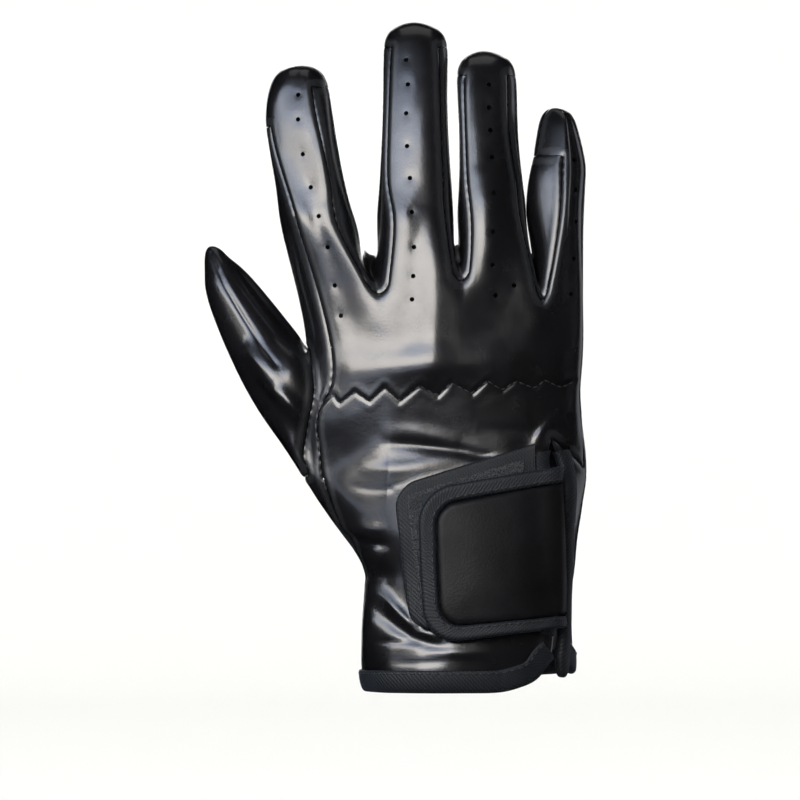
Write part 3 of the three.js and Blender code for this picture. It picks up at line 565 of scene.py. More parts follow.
def thumbRing(section, size):
    ring = []
    for place in range(size):
        angle = (place - 1) / size * 2 * math.pi
        share = (1 + math.cos(angle)) / 2
        x = lerp(section["outerX"], section["innerX"], share)
        z = lerp(section["outerZ"], section["innerZ"], share)
        ring.append(addPoint(x, section["mid"] + section["thick"] / 2 * math.sin(angle), z))
    return ring


def addThumb(rings):
    lower = [rings[holeFirst][leftSide], rings[holeFirst][leftSide - 1]]
    lower += [rings[row][leftSide - 2] for row in range(holeFirst, holeLast + 1)]
    lower.append(rings[holeLast][leftSide - 1])
    lower += [rings[row][leftSide] for row in range(holeLast, holeFirst, -1)]
    for section in thumbSections:
        upper = thumbRing(section, len(lower))
        addBand(lower, upper, lambda place: thumbId)
        lower = upper
    depth = thumbSections[-1]["mid"]
    middle = [lower[1], *(addPoint(x, depth, z) for x, z in thumbTip), lower[7]]
    back = [lower[place] for place in (0, 11, 10, 9, 8)]
    palm = [lower[place] for place in (2, 3, 4, 5, 6)]
    for step in range(len(middle) - 1):
        addFace(thumbId, back[step + 1], back[step], middle[step], middle[step + 1])
        addFace(thumbId, middle[step + 1], middle[step], palm[step], palm[step + 1])


def sumOnto(index, values, size):
    return np.stack([np.bincount(index, values[:, axis], size) for axis in range(3)], axis=1)


# Each point's neighbours along edges and across faces, added up
def around(points, faces):
    size = len(points)
    starts = faces.ravel()
    ends = np.roll(faces, -1, axis=1).ravel()
    keys, faceEdges, counts = np.unique(
        np.minimum(starts, ends) * size + np.maximum(starts, ends), return_inverse=True, return_counts=True
    )
    edges = np.stack([keys // size, keys % size], axis=1)
    rim = edges[counts == 1]
    both = edges.ravel()
    others = edges[:, ::-1].ravel()
    far = np.roll(faces, 2, axis=1).ravel()
    return {
        "edges": edges,
        "faceEdges": faceEdges.reshape(faces.shape),
        "counts": counts,
        "near": sumOnto(both, points[others], size),
        "valence": np.bincount(both, minlength=size)[:, None],
        "far": sumOnto(starts, points[far], size),
        "rimNear": sumOnto(rim.ravel(), points[rim[:, ::-1].ravel()], size),
        "onRim": np.bincount(rim.ravel(), minlength=size)[:, None] > 0,
    }


# Where each point lies on the smooth surface that endless subdivision would give
def limitPlaces(points, faces):
    a = around(points, faces)
    n = np.maximum(a["valence"], 1)
    inner = (n * n * points + 4 * a["near"] + a["far"]) / (n * (n + 5))
    return np.where(a["onRim"], (4 * points + a["rimNear"]) / 6, inner)


# One step of Catmull-Clark subdivision; a chain is a list of points along edges, kept up to date
def subdivide(points, faces, chains):
    a = around(points, faces)
    size = len(points)
    centres = points[faces].mean(axis=1)
    n = np.maximum(a["valence"], 1)
    inner = ((4 * n * n - 7 * n) * points + 6 * a["near"] + a["far"]) / (4 * n * n)
    moved = np.where(a["onRim"], (6 * points + a["rimNear"]) / 8, inner)
    sides = sumOnto(a["faceEdges"].ravel(), np.repeat(centres, 4, axis=0), len(a["edges"]))
    middles = points[a["edges"]].mean(axis=1)
    single = (a["counts"] == 1)[:, None]
    middles = np.where(single, middles, middles / 2 + sides / 4)
    after = size + a["faceEdges"]
    before = np.roll(after, 1, axis=1)
    centre = np.repeat(size + len(middles) + np.arange(len(faces)), 4).reshape(-1, 4)
    quads = np.stack([faces, after, centre, before], axis=2).reshape(-1, 4)
    edgeAt = {(low, high): size + k for k, (low, high) in enumerate(a["edges"].tolist())}
    longer = {}
    for name, chain in chains.items():
        longer[name] = [chain[0]]
        for here, there in zip(chain, chain[1:]):
            longer[name] += [edgeAt[(min(here, there), max(here, there))], there]
    return np.concatenate([moved, middles, centres]), quads, longer


def faceNormals(points, faces):
    a, b, c, d = (points[faces[:, corner]] for corner in range(4))
    normals = np.cross(c - a, d - b)
    return normals / np.maximum(np.linalg.norm(normals, axis=1, keepdims=True), 1e-9)


def pointNormals(points, faces):
    normals = sumOnto(faces.ravel(), np.repeat(faceNormals(points, faces), 4, axis=0), len(points))
    return normals / np.maximum(np.linalg.norm(normals, axis=1, keepdims=True), 1e-9)


def makeSurface():
    rings = [bodyRing(section, row) for row, section in enumerate(sections)]
    for row in range(len(rings) - 1):
        addBand(rings[row + 1], rings[row], lambda place: bodyPanel(place, row))
    addFingers(rings[0])
    addThumb(rings)
    targets = np.array(cage["points"], float)
    faces = np.array(cage["faces"])
    points = targets.copy()
    for step in range(glove["fittingSteps"]):
        points += targets - limitPlaces(points, faces)
    chains = {
        "mouth": rings[-1] + rings[-1][:1],
        "slit": [rings[row][slitColumn] for row in range(len(rings) - 1, slitRow - 1, -1)],
    }
    for step in range(glove["detail"]):
        points, faces, chains = subdivide(points, faces, chains)
    points = limitPlaces(points, faces)
    owners = np.repeat(cage["panels"], 4 ** glove["detail"])
    return points, faces, owners, chains


smoothPoints, surfaceFaces, surfaceOwners, chains = makeSurface()
smoothNormals = pointNormals(smoothPoints, surfaceFaces)
print("surface made:", len(surfaceFaces), "faces")


# Folds of the worn leather, each placed where the real one lies. face is -1 on the back and 1 on
# the palm; each fold runs from its start over its middle to its end, as x and z. A positive height
# is a ridge.
folds = table(
    "name face start middle end width height",
    [
        ("dip under the gather", -1, (-60, 88), (-20, 87), (22, 89), 12, -1.15),
        ("long groove", -1, (-30, 84.8), (-8, 83.4), (18, 77.5), 2.6, -0.65),
        ("broad ridge", -1, (-38, 76.6), (-23, 76.4), (4, 80.5), 3.4, 0.4),
        ("soft spot", -1, (-31, 89.5), (-17, 88.5), (-2, 85), 4, 0.4),
        ("heel hollow", -1, (-61, 78), (-45, 75.5), (-27, 74), 14, -2.8),
        ("groove over the closure", -1, (-42, 71), (-27, 69.3), (-4, 74.5), 2, -0.2),
        ("groove over the slit", -1, (4, 90.3), (16, 89.5), (26, 89.5), 2.6, -0.3),
        ("swell over the gather", -1, (-47, 110), (-8, 112.5), (36, 114), 9, 1.9),
        ("ring knuckle line", -1, (9, 182), (9.5, 160), (9, 138), 7, 1.2),
        ("middle knuckle crest", -1, (-12.5, 168), (-11.5, 135), (-11.5, 104), 5, 0.4),
        ("middle knuckle line", -1, (-12, 168), (-11.5, 135), (-11.5, 104), 11, 1.3),
        ("cuff arc", -1, (-31, 36.5), (-20, 23.4), (-8, 17.8), 2.2, 1.1),
        ("cuff hollow", -1, (-33, 31.5), (-22.5, 20.3), (-5, 13.6), 2.6, -0.9),
        ("cuff crease", -1, (-31, 16.6), (-24, 16), (-15, 16), 1.2, -0.3),
        ("low cuff crease", -1, (-26, 9.6), (-17, 9), (-6, 9.6), 1.2, -0.3),
        ("hem swell", -1, (-44, 3), (-16, 2), (12, 3), 15, 2.6),
        ("cuff ripple", -1, (-14, 13), (0, 12.4), (16, 12.8), 2, 0.6),
        ("wrist swell", -1, (-46, 57), (-37, 54.8), (-27, 55.5), 3.2, 0.6),
        ("wrist crease", -1, (-46, 53.8), (-35, 50.6), (-26, 49.5), 2.2, -0.9),
        ("wrist ridge", -1, (-46, 48.5), (-36, 45.8), (-28, 44), 3, 0.5),
        ("wrist hollow", -1, (-38, 40), (-31, 38.5), (-26, 42), 2.4, -0.6),
        ("wrist slope", -1, (-44, 33), (-22, 33), (4, 33), 12, -0.8),
        ("cuff flank", -1, (-32.5, 50), (-32, 28), (-33, 0), 4.5, 3),
        ("thumb far side", -1, (-84, 150), (-67, 135), (-56, 112), 7.5, -2),
        ("thumb wrinkle", -1, (-78, 119), (-70.5, 111.5), (-65.5, 100), 4.3, 1.9),
        ("second thumb wrinkle", -1, (-67, 104), (-61.5, 99), (-56, 92), 3.6, 1.9),
        ("index far side", -1, (-50, 209), (-49.3, 190), (-46, 170), 4, 1.3),
        ("thumb hollow", -1, (-76, 109), (-70, 102.5), (-66, 96), 2.4, -0.7),
        ("upper palm crease", 1, (-40, 119), (-8, 125), (32, 123), 4.5, -0.8),
        ("middle palm crease", 1, (-46, 116), (-16, 108), (20, 99), 5, -0.7),
        ("thumb crease", 1, (-42, 114), (-24, 93), (-26, 62), 5, -0.9),
        ("wrist crease of the palm", 1, (-32, 41), (0, 44), (35, 42), 4.5, -0.9),
        ("heel ridge", 1, (-34, 49), (0, 52), (36, 49), 5, 0.6),
        ("index joint crease", 1, (-66, 176), (-56, 175), (-46, 177), 2.6, -0.5),
        ("middle joint crease", 1, (-30, 183), (-18, 182), (-5, 183), 2.6, -0.5),
        ("ring joint crease", 1, (-3, 178), (9, 177), (20, 178), 2.6, -0.5),
        ("little joint crease", 1, (23, 170), (32, 169), (41, 170), 2.4, -0.5),
    ],
)
foldLook = {
    "falloff": 1.6,  # of a fold's height across its width
    "taper": 0.8,  # exponent of its rise and fall along it
    "lostUnderPad": 0.9,
    "padMargin": 1.5,
    "uneven": 0.08,
    "unevenSizes": (14, 6),
}
print("folds:", len(folds))

# Where the elastic was sewn across the back, corner by corner, as x and z
gatherCorners = [
    (-49.5, 99.5), (-46.2, 101.9), (-43.8, 98.7), (-38.5, 102.9), (-33.3, 99.4), (-28.0, 104.3),
    (-22.8, 99.4), (-15.8, 105.0), (-9.5, 101.5), (-4.9, 106.1), (2.5, 102.2), (7.7, 106.8),
    (13.0, 103.3), (17.5, 106.8), (24.2, 104.0), (27.7, 107.1), (33.3, 104.3), (38.5, 106.8),
]
gatherLook = {
    "depth": 0.27, "groove": 0.6, "puffBelow": 0.05, "puffAbove": 0.1, "puffAt": 1.9, "puffWidth": 1.1,
    "reach": 6, "stitch": 2.2,
}
thumbSeam = {
    "places": [(-89.2, 151.5), (-84, 139.7), (-77.7, 129.2), (-71, 118.7), (-66, 112.4)],
    "share": 0.7,  # of the other seams' relief
    "reach": 6,
}
seamLook = {
    "depth": 0.42,
    "groove": 0.75,
    "ridge": 0.08,
    "endShare": 0.08,  # of this relief, where a fourchette ends near a fingertip
    "endFrom": 180,
    "levelRange": (0.3, 0.8),  # a seam counts as level between these shares
    "levelSteps": 12,
    "ridgeAt": 1.8,
    "ridgeWidth": 0.8,
    "rubbed": 0.9,
    "rubbedWidth": 1.1,
    "pucker": 3.2,  # stitches draw the leather in at this spacing
    "puckerShare": 0.22,
}
ventHoles = {
    "radius": 0.8,
    "places": [
        (-58.4, 206.8), (-58.4, 198.1), (-56.7, 185.9), (-53.9, 174.3), (-51.1, 164.2), (-48, 153.3),
        (-45.5, 140), (-43.4, 129.5),
        (-20.6, 219.1), (-20, 210.4), (-20.6, 200.2), (-20.3, 188.7), (-19.3, 177.5), (-18.6, 165.6),
        (-17.9, 153.3), (-18.2, 143.2), (-18.6, 135.1),
        (8.4, 210.4), (8.4, 202.3), (8.8, 194.3), (9.4, 184.8), (9.8, 172.2), (9.4, 158.6),
        (9.4, 147), (10.5, 136.5), (17, 140),
        (38.2, 184), (38.8, 173.6), (38.8, 162.4), (38, 149.5), (37, 137),
    ],
    "dimple": 0.15,
    "dimpleWidth": 1.6,
    "dimpleReach": 4,
    "sides": 20,
    "drill": 2.5,  # half its length
}

# The pile pad of the closure lies here; the leather is flat under it
pad = {
    "topLeft": (-25, 69.8), "topRight": (24.2, 84.9), "bottomRight": (23.4, 26),
    "bottomLeft": (-18.5, 19.4), "radius": 8, "lift": 0.55, "thickness": 1.8, "round": 1.4,
    "swell": 0, "border": 4.5,
}


# How far inside a closure patch a place lies, in millimetres; negative outside it
def depthInPatch(patch, x, z):
    along = (z - patch["bottomLeft"][1]) / (patch["topLeft"][1] - patch["bottomLeft"][1])
    left = lerp(patch["bottomLeft"][0], patch["topLeft"][0], along)
    right = patch["topRight"][0]
    across = (x - left) / (right - left)
    low = lerp(patch["bottomLeft"][1], patch["bottomRight"][1], across)
    high = lerp(patch["topLeft"][1], patch["topRight"][1], across)
    return np.minimum(np.minimum(z - low, high - z), np.minimum(x - left, right - x))


def arcPlaces(fold):
    start, middle, end = (np.array(fold[name], float) for name in ("start", "middle", "end"))
    t = np.linspace(0, 1, 60)[:, None]
    return start * (1 - t) * (1 - 2 * t) + middle * 4 * t * (1 - t) + end * t * (2 * t - 1)


def linePlaces(corners, spacing):
    places = []
    for (x, z), (nextX, nextZ) in zip(corners, corners[1:]):
        count = max(int(math.hypot(nextX - x, nextZ - z) / spacing), 1)
        places += [(lerp(x, nextX, k / count), lerp(z, nextZ, k / count)) for k in range(count)]
    return np.array(places + [corners[-1]])


# Distance from each point to a route drawn in x and z, and the place on it, for points close by
def nearRoute(points, normals, route, reach, face):
    flat = points[:, [0, 2]]
    close = np.all((flat > route.min(axis=0) - reach) & (flat < route.max(axis=0) + reach), axis=1)
    index = np.nonzero(close & (normals[:, 1] * face > 0))[0]
    nearest = np.linalg.norm(flat[index][:, None] - route[None], axis=2).argmin(axis=1)
    step = np.gradient(route, axis=0)[nearest]
    offset = flat[index] - route[nearest]
    onward = np.clip((offset * step).sum(axis=1) / np.maximum((step**2).sum(axis=1), 1e-9), -0.5, 0.5)
    gap = np.linalg.norm(offset - onward[:, None] * step, axis=1)
    along = np.clip((nearest + onward) / (len(route) - 1), 0, 1)
    return index, gap, along, smoothStep(normals[index, 1] * face, 0, 0.5)


def bump(gap, width):
    return np.exp(-((gap / width) ** 2))


def seamRelief(gap, look=seamLook):
    ridge = look["ridge"] * bump(gap - look["ridgeAt"], look["ridgeWidth"])
    return ridge - look["depth"] * bump(gap, look["groove"])


def reliefOf(points, normals):
    height = np.zeros(len(points))
    for fold in folds:
        route = arcPlaces(fold)
        index, gap, along, facing = nearRoute(points, normals, route, 3 * fold["width"], fold["face"])
        taper = np.sin(np.pi * along) ** foldLook["taper"]
        across = np.exp(-foldLook["falloff"] * (gap / fold["width"]) ** 2)
        height[index] += facing * fold["height"] * taper * across
    margin = foldLook["padMargin"]
    covered = smoothStep(depthInPatch(pad, points[:, 0], points[:, 2]), -margin, margin)
    height *= 1 - foldLook["lostUnderPad"] * covered * (normals[:, 1] < 0)
    look = gatherLook
    route = linePlaces(gatherCorners, 0.25)
    index, gap, along, facing = nearRoute(points, normals, route, look["reach"], -1)
    above = points[index, 2] > np.interp(points[index, 0], *np.array(gatherCorners).T)
    puff = np.where(above, look["puffAbove"], look["puffBelow"])
    puff *= bump(gap - look["puffAt"], look["puffWidth"])
    height[index] += facing * (puff - look["depth"] * bump(gap, look["groove"]))
    route = linePlaces(thumbSeam["places"], 0.3)
    index, gap, along, facing = nearRoute(points, normals, route, thumbSeam["reach"], -1)
    height[index] += thumbSeam["share"] * facing * seamRelief(gap)
    for place in ventHoles["places"]:
        spot = np.array([place, place])
        index, gap, along, facing = nearRoute(points, normals, spot, ventHoles["dimpleReach"], -1)
        height[index] -= facing * ventHoles["dimple"] * bump(gap, ventHoles["dimpleWidth"])
    broad, fine = foldLook["unevenSizes"]
    uneven = [noise.noise(Vector(p) / broad) + 0.5 * noise.noise(Vector(p) / fine) for p in points]
    return height + foldLook["uneven"] * np.array(uneven)


leatherPoints = smoothPoints + smoothNormals * reliefOf(smoothPoints, smoothNormals)[:, None]
triangles = np.concatenate([surfaceFaces[:, [0, 1, 2]], surfaceFaces[:, [0, 2, 3]]])
smoothTree = BVHTree.FromPolygons(smoothPoints.tolist(), triangles.tolist())
leatherTree = BVHTree.FromPolygons(leatherPoints.tolist(), triangles.tolist())
print("leather folded")


def makeObject(name, points, faces, materials, uvs=None, slots=None):
    mesh = bpy.data.meshes.new(name)
    mesh.from_pydata((np.asarray(points) * mm).tolist(), [], [tuple(face) for face in faces])
    for material in materials:
        mesh.materials.append(material)
    if uvs is not None:
        layer = mesh.uv_layers.new(name="tapeMap")
        corners = np.array([loop.vertex_index for loop in mesh.loops])
        layer.data.foreach_set("uv", np.asarray(uvs)[corners].ravel())
    if slots is not None:
        mesh.polygons.foreach_set("material_index", slots)
    mesh.polygons.foreach_set("use_smooth", [True] * len(mesh.polygons))
    mesh.update()
    return addToScene(name, mesh)


def applyModifiers(made):
    seen = made.evaluated_get(bpy.context.evaluated_depsgraph_get())
    mesh = bpy.data.meshes.new_from_object(seen)
    made.modifiers.clear()
    made.data = mesh


def finishPiece(made, node=None):
    if node:
        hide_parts(node)
    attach(made, bodyName)


def faceOutward(made):
    if sum(face.area * face.normal.dot(face.center) for face in made.data.polygons) < 0:
        made.data.flip_normals()


def sharpenEdges(made, degrees):
    made.data.set_sharp_from_angle(angle=math.radians(degrees))


# Where a line from before the glove meets its back, and the way out there
def fromFront(tree, x, z):
    return tree.ray_cast((x, -100, z), (0, 1, 0))[:2]


def ringPoints(centre, across, up, radius, sides):
    turns = [2 * math.pi * k / sides for k in range(sides)]
    return [centre + (across * math.cos(turn) + up * math.sin(turn)) * radius for turn in turns]


# The faces of a tube through rings of points that follow one another, and then its two ends
def tubeFaces(first, rings, sides):
    last = first + (rings - 1) * sides
    faces = []
    for low in range(first, last, sides):
        for k in range(sides):
            after = (k + 1) % sides
            faces.append((low + k, low + after, low + sides + after, low + sides + k))
    return faces + [tuple(reversed(range(first, first + sides))), tuple(range(last, last + sides))]


def runningSum(lengths):
    return np.concatenate([[0], np.cumsum(lengths)])


def spotTree(spots):
    tree = KDTree(len(spots))
    for k, spot in enumerate(spots):
        tree.insert(spot, k)
    tree.balance()
    return tree


# The edges of a panel as directed pairs of points, each with the way into the panel
def panelEdges(points, faces):
    size = len(points)
    starts = faces.ravel()
    ends = np.roll(faces, -1, axis=1).ravel()
    single = ~np.isin(starts * size + ends, ends * size + starts)
    normals = np.repeat(faceNormals(points, faces), 4, axis=0)[single]
    inward = np.cross(normals, points[ends[single]] - points[starts[single]])
    inward /= np.linalg.norm(inward, axis=1, keepdims=True)
    return starts[single], ends[single], inward


slit = {
    "top": sections[slitRow]["z"] + sections[slitRow]["rise"], "left": 28, "right": 36,
    "run": 9,  # it opens to its full width over this length
    "halfWidth": 2.8,
}
seamGap = 0.3


def edgeInset(points):
    x, y, z = points.T
    beside = (y < 0) & (x > slit["left"]) & (x < slit["right"]) & (z < slit["top"])
    return seamGap / 2 + beside * slit["halfWidth"] * smoothStep(slit["top"] - z, 0, slit["run"])


# Length along its loop of each edge point, for the spacing of the stitches
def loopLengths(points, starts, ends):
    following = dict(zip(starts.tolist(), ends.tolist()))
    lengths = {}
    while following:
        here, length = next(iter(following)), 0.0
        while here in following:
            lengths[here] = length
            there = following.pop(here)
            length += float(np.linalg.norm(points[there] - points[here]))
            here = there
    return lengths


# How far the seam at each edge point runs level, from 0 to 1, smoothed along the seam
def levelShare(points, starts, ends):
    size = len(points)
    count = np.maximum(np.bincount(starts, minlength=size) + np.bincount(ends, minlength=size), 1)

    def meanAtPoints(values):
        return (np.bincount(starts, values, size) + np.bincount(ends, values, size)) / count

    run = points[ends] - points[starts]
    share = meanAtPoints(1 - np.abs(run[:, 2]) / np.linalg.norm(run, axis=1))
    for step in range(seamLook["levelSteps"]):
        share = meanAtPoints((share[starts] + share[ends]) / 2)
    return smoothStep(share, *seamLook["levelRange"])


panelNodes = {
    "backPanel": "back_panel",
    "palmPanel": "palm_panel",
    "fourchetteIndexMiddle": "fourchette_index_middle",
    "fourchetteMiddleRing": "fourchette_middle_ring",
    "fourchetteRingLittle": "fourchette_ring_little",
    "thumbPanel": "thumb",
}
mouth = np.array(chains["mouth"])
wallLook = {"insideShare": 0.62, "holeEdge": 65}  # share of the inside's triangles kept; degrees


# Gives a panel its thickness, with a coarser inside
def thicken(made):
    inside = made.vertex_groups.new(name="inside")
    wall = made.modifiers.new("wall", "SOLIDIFY")
    wall.thickness = glove["wall"] * mm
    wall.offset = -1
    wall.material_offset = 1
    wall.shell_vertex_group = inside.name
    thin = made.modifiers.new("thinner inside", "DECIMATE")
    thin.ratio = wallLook["insideShare"]
    thin.vertex_group = inside.name
    applyModifiers(made)


def makePanel(number, name):
    faces = surfaceFaces[surfaceOwners == number]
    used, faces = np.unique(faces, return_inverse=True)
    faces = faces.reshape(-1, 4)
    points, normals = leatherPoints[used], smoothNormals[used]
    starts, ends, inward = panelEdges(points, faces)
    onMouth = np.isin(used, mouth)
    sewn = ~(onMouth[starts] & onMouth[ends])
    edge = np.unique(np.concatenate([starts[sewn], ends[sewn]]))
    into = sum(sumOnto(side[sewn], inward[sewn], len(points)) for side in (starts, ends))[edge]
    into /= np.linalg.norm(into, axis=1, keepdims=True)
    insets = edgeInset(smoothPoints[used][edge])
    level = levelShare(points, starts[sewn], ends[sewn])[edge]
    strength = 1 - (1 - seamLook["endShare"]) * level * (points[edge, 2] > seamLook["endFrom"])
    lengths = loopLengths(points, starts, ends)
    places = np.array([lengths.get(k, 0.0) for k in edge.tolist()])
    tree = spotTree(points[edge].tolist())
    found = [tree.find(place)[1:] for place in points.tolist()]
    nearest = np.array([k for k, gap in found])
    gap = np.array([gap for k, gap in found])
    inset = insets[nearest]
    pull = inset * np.clip(1 - gap / (3 * inset), 0, 1)
    points = points + into[nearest] * pull[:, None]
    bound = smoothStep(inset, seamGap / 2, 1)
    pucker = 1 + seamLook["puckerShare"] * np.sin(2 * np.pi * places[nearest] / seamLook["pucker"])
    relief = seamRelief(gap) * pucker * (1 - bound) * strength[nearest]
    points = points + normals * relief[:, None]
    made = makeObject(name, points, faces, [gloveLeather, leatherInside])
    mesh = made.data
    rubbed = seamLook["rubbed"] * bump(gap - seamLook["ridgeAt"], seamLook["rubbedWidth"]) * (1 - bound)
    mesh.attributes.new("rubbed", "FLOAT", "POINT").data.foreach_set("value", rubbed.astype(np.float32))
    rim = set(zip(np.minimum(starts, ends).tolist(), np.maximum(starts, ends).tolist()))
    for line in mesh.edges:
        line.use_edge_sharp = tuple(sorted(line.vertices)) in rim
    thicken(made)
    finishPiece(made, panelNodes[name])
    return made


leather = {name: makePanel(number, name) for number, name in enumerate(panels)}
for name, made in leather.items():
    made.data.calc_loop_triangles()
    print("panel", name, len(made.data.loop_triangles), "triangles")


# Vent holes, punched through the back panel after it has its thickness
def punchHoles(made):
    sides, half = ventHoles["sides"], ventHoles["drill"]
    points, faces = [], []
    for x, z in ventHoles["places"]:
        centre, out = fromFront(smoothTree, x, z)
        across = out.cross(Vector((0, 0, 1))).normalized()
        faces += tubeFaces(len(points), 2, sides)
        for end in (half, -half):
            points += ringPoints(centre + out * end, across, across.cross(out), ventHoles["radius"], sides)
    drill = makeObject("drill", points, faces, [gloveLeather])
    faceOutward(drill)
    cut = made.modifiers.new("holes", "BOOLEAN")
    cut.operation = "DIFFERENCE"
    cut.solver = "MANIFOLD"
    cut.object = drill
    applyModifiers(made)
    bpy.data.objects.remove(drill)
    sharpenEdges(made, wallLook["holeEdge"])


punchHoles(leather["backPanel"])
print("holes punched")


# Sewing stitches: short threads that rise out of the leather and go back in
stitchLook = {
    "radius": 0.22, "sides": 6, "rings": 7, "start": 0.3, "gap": 0.45,
    "rise": 1.3, "sunk": 0.9, "endSize": 0.55,  # in radii
}


# Cuts a route of (place, way out) into stitches of one length with gaps between them
def stitchesAlong(route, length):
    reach = runningSum([(b[0] - a[0]).length for a, b in zip(route, route[1:])])
    spots, outs = (np.array([stop[k] for stop in route]) for k in (0, 1))

    def at(values, distance):
        return Vector([np.interp(distance, reach, values[:, axis]) for axis in range(3)])

    begins = np.arange(stitchLook["start"], reach[-1] - length, length + stitchLook["gap"])
    return [(at(spots, b), at(spots, b + length), at(outs, b + length / 2).normalized()) for b in begins]


def makeStitches(name, route, length):
    points, faces = [], []
    radius, sides, rings = stitchLook["radius"], stitchLook["sides"], stitchLook["rings"]
    for start, end, out in stitchesAlong(route, length):
        across = (end - start).normalized().cross(out).normalized()
        faces += tubeFaces(len(points), rings, sides)
        for ring in range(rings):
            t = ring / (rings - 1)
            arch = math.sin(math.pi * t) ** 0.5 if 0 < t < 1 else 0
            centre = start.lerp(end, t) + out * radius * (stitchLook["rise"] * arch - stitchLook["sunk"])
            size = radius * lerp(stitchLook["endSize"], 1, arch)
            points += ringPoints(centre, across, out, size, sides)
    finishPiece(makeObject(name, points, faces, [sewingThread]))


gatherRoute = [fromFront(leatherTree, x, z) for x, z in linePlaces(gatherCorners, 0.5)]
makeStitches("gatherStitches", gatherRoute, gatherLook["stitch"])

# Bindings: tape folded over an edge of the leather. A section is a closed outline of (distance
# from the edge, height over the leather); a station is (place on the edge, way in, way out).
tape = {
    "thickness": 0.8,
    "clearance": 0.3,
    "crown": 0.15,  # how far its upper side bulges
    "arcSteps": 9,
    "legPoints": 8,
    "blend": 1.5,  # behind the edge, its upright turns with the leather over this distance
    "crease": 55,  # an edge bent further than this, in degrees, stays sharp
}


def foldedSection(reach, height, crown=tape["crown"]):
    wall, gap, thick, steps = glove["wall"], tape["clearance"], tape["thickness"], tape["arcSteps"]
    foldAt = wall / 2
    under = -wall - gap
    legs = np.linspace(reach, foldAt, tape["legPoints"])[1:]

    # A half round about the leather's edge, raised at its start to meet a thicker upper side
    def halfRound(radius, way, raised=0.0):
        for k in range(steps + 1):
            angle = way * (math.pi / 2 + math.pi * k / steps)
            rise = radius * math.sin(angle) + raised * (1 - k / steps) ** 0.5
            yield foldAt + radius * math.cos(angle), rise - wall / 2

    # The rounded free edge, then the bulging upper side
    top = [(reach, gap + 0.1), (reach - 0.1, height - 0.3), (reach - 0.45, height - 0.05)]
    top += [(s, height + crown * math.sin(math.pi * s / reach)) for s in legs[:-1] if s < reach - 0.6]
    nose = list(halfRound(foldAt + gap + thick, 1, height - gap - thick))
    bottom = [(s, under - thick) for s in reversed(legs[1:-1])] + [(reach, under - thick), (reach, under)]
    inside = [(s, under) for s in legs[1:-1]] + list(halfRound(foldAt + gap, -1))
    return top + nose + bottom + inside + [(s, gap) for s in reversed(legs[1:-1])]


def sectionPlace(station, along, height):
    edge, into, out = station
    if along <= 0:
        return edge + into * along + out * height
    place, normal = leatherTree.find_nearest(edge + into * along)[:2]
    upright = out.lerp(normal, min(along / tape["blend"], 1)).normalized()
    return place + upright * height


# A closed tape through loops of points; runs and widths are its UV map, in millimetres
def makeTapePiece(name, loops, runs, widths, crease):
    points = [point for loop in loops for point in loop]
    uvs = [(run, width) for run in runs for width in widths]
    made = makeObject(name, points, tubeFaces(0, len(loops), len(widths)), [bindingTape], uvs)
    faceOutward(made)
    sharpenEdges(made, crease)
    return made


def sweep(name, stations, section, before=()):
    loops = [*before] + [[sectionPlace(station, *spot) for spot in section] for station in stations]
    runs = runningSum([(there[0] - here[0]).length for here, there in zip(loops, loops[1:])])
    widths = runningSum([math.dist(a, b) for a, b in zip(section, section[1:])])
    return makeTapePiece(name, loops, runs, widths, tape["crease"])


# Stations along a chain of surface points; side points out of the edge into the leather
def chainStations(chain, side, inset=False, smoothing=0):
    spots = [Vector(leatherPoints[k]) for k in chain]
    stations = []
    for k, spot in enumerate(spots):
        out = Vector(smoothNormals[chain[k]])
        before, after = spots[max(k - 1, 0)], spots[min(k + 1, len(spots) - 1)]
        into = out.cross((after - before).normalized()).normalized()
        if into.dot(side) < 0:
            into.negate()
        if inset:
            gap = float(edgeInset(smoothPoints[[chain[k]]])[0])
            spot, out = leatherTree.find_nearest(spot + into * gap)[:2]
        stations.append((spot, into, out))
    for turn in range(smoothing):
        around = zip([stations[0]] + stations[:-1], stations, stations[1:] + [stations[-1]])
        stations = [
            (b[0], *((a[way] + b[way] + c[way]).normalized() for way in (1, 2))) for a, b, c in around
        ]
    return stations


# start, end and top say where a tape begins and ends, in the part's own steps
hemLook = {
    "reach": 6.8, "height": 1.1, "start": 0.35, "end": 0.7, "smoothing": 6,
    "stitch": 2.3, "stitchAt": 5.6, "stitchRise": 0.1,
}
slitLook = {
    "reach": 6.6, "height": 1.1, "start": 1.9, "top": 0.4, "stitchAt": 5.4,
    "palmReach": 4.8, "palmHeight": 2.0, "palmCrown": 0.3,
    "foot": 6.8, "footSteps": 9, "footMiddle": 0.42, "footTip": 0.12, "footRound": 0.7,
}
stepsPerPoint = 2 ** (glove["detail"] - 1)  # steps of the fine surface in one of the part's own

mouthChain = chains["mouth"]
if smoothPoints[mouthChain[1]][0] < smoothPoints[mouthChain[0]][0]:
    mouthChain = mouthChain[::-1]
footAt = min(range(len(mouthChain)), key=lambda k: abs(mouthChain[k] - chains["slit"][0]))
mouthChain = mouthChain[footAt:] + mouthChain[1 : footAt + 1]
if smoothPoints[mouthChain[stepsPerPoint]][0] > smoothPoints[mouthChain[0]][0]:
    mouthChain = mouthChain[::-1]
firstStep = round(hemLook["start"] * stepsPerPoint)
lastStep = len(mouthChain) - 1 - round((1 - hemLook["end"]) * stepsPerPoint)
mouthChain = mouthChain[firstStep : lastStep + 1 : 2]
hemStations = chainStations(mouthChain, Vector((0, 0, 1)), smoothing=hemLook["smoothing"])
hemBinding = sweep("hemBinding", hemStations, foldedSection(hemLook["reach"], hemLook["height"]))
finishPiece(hemBinding, "hem_binding")


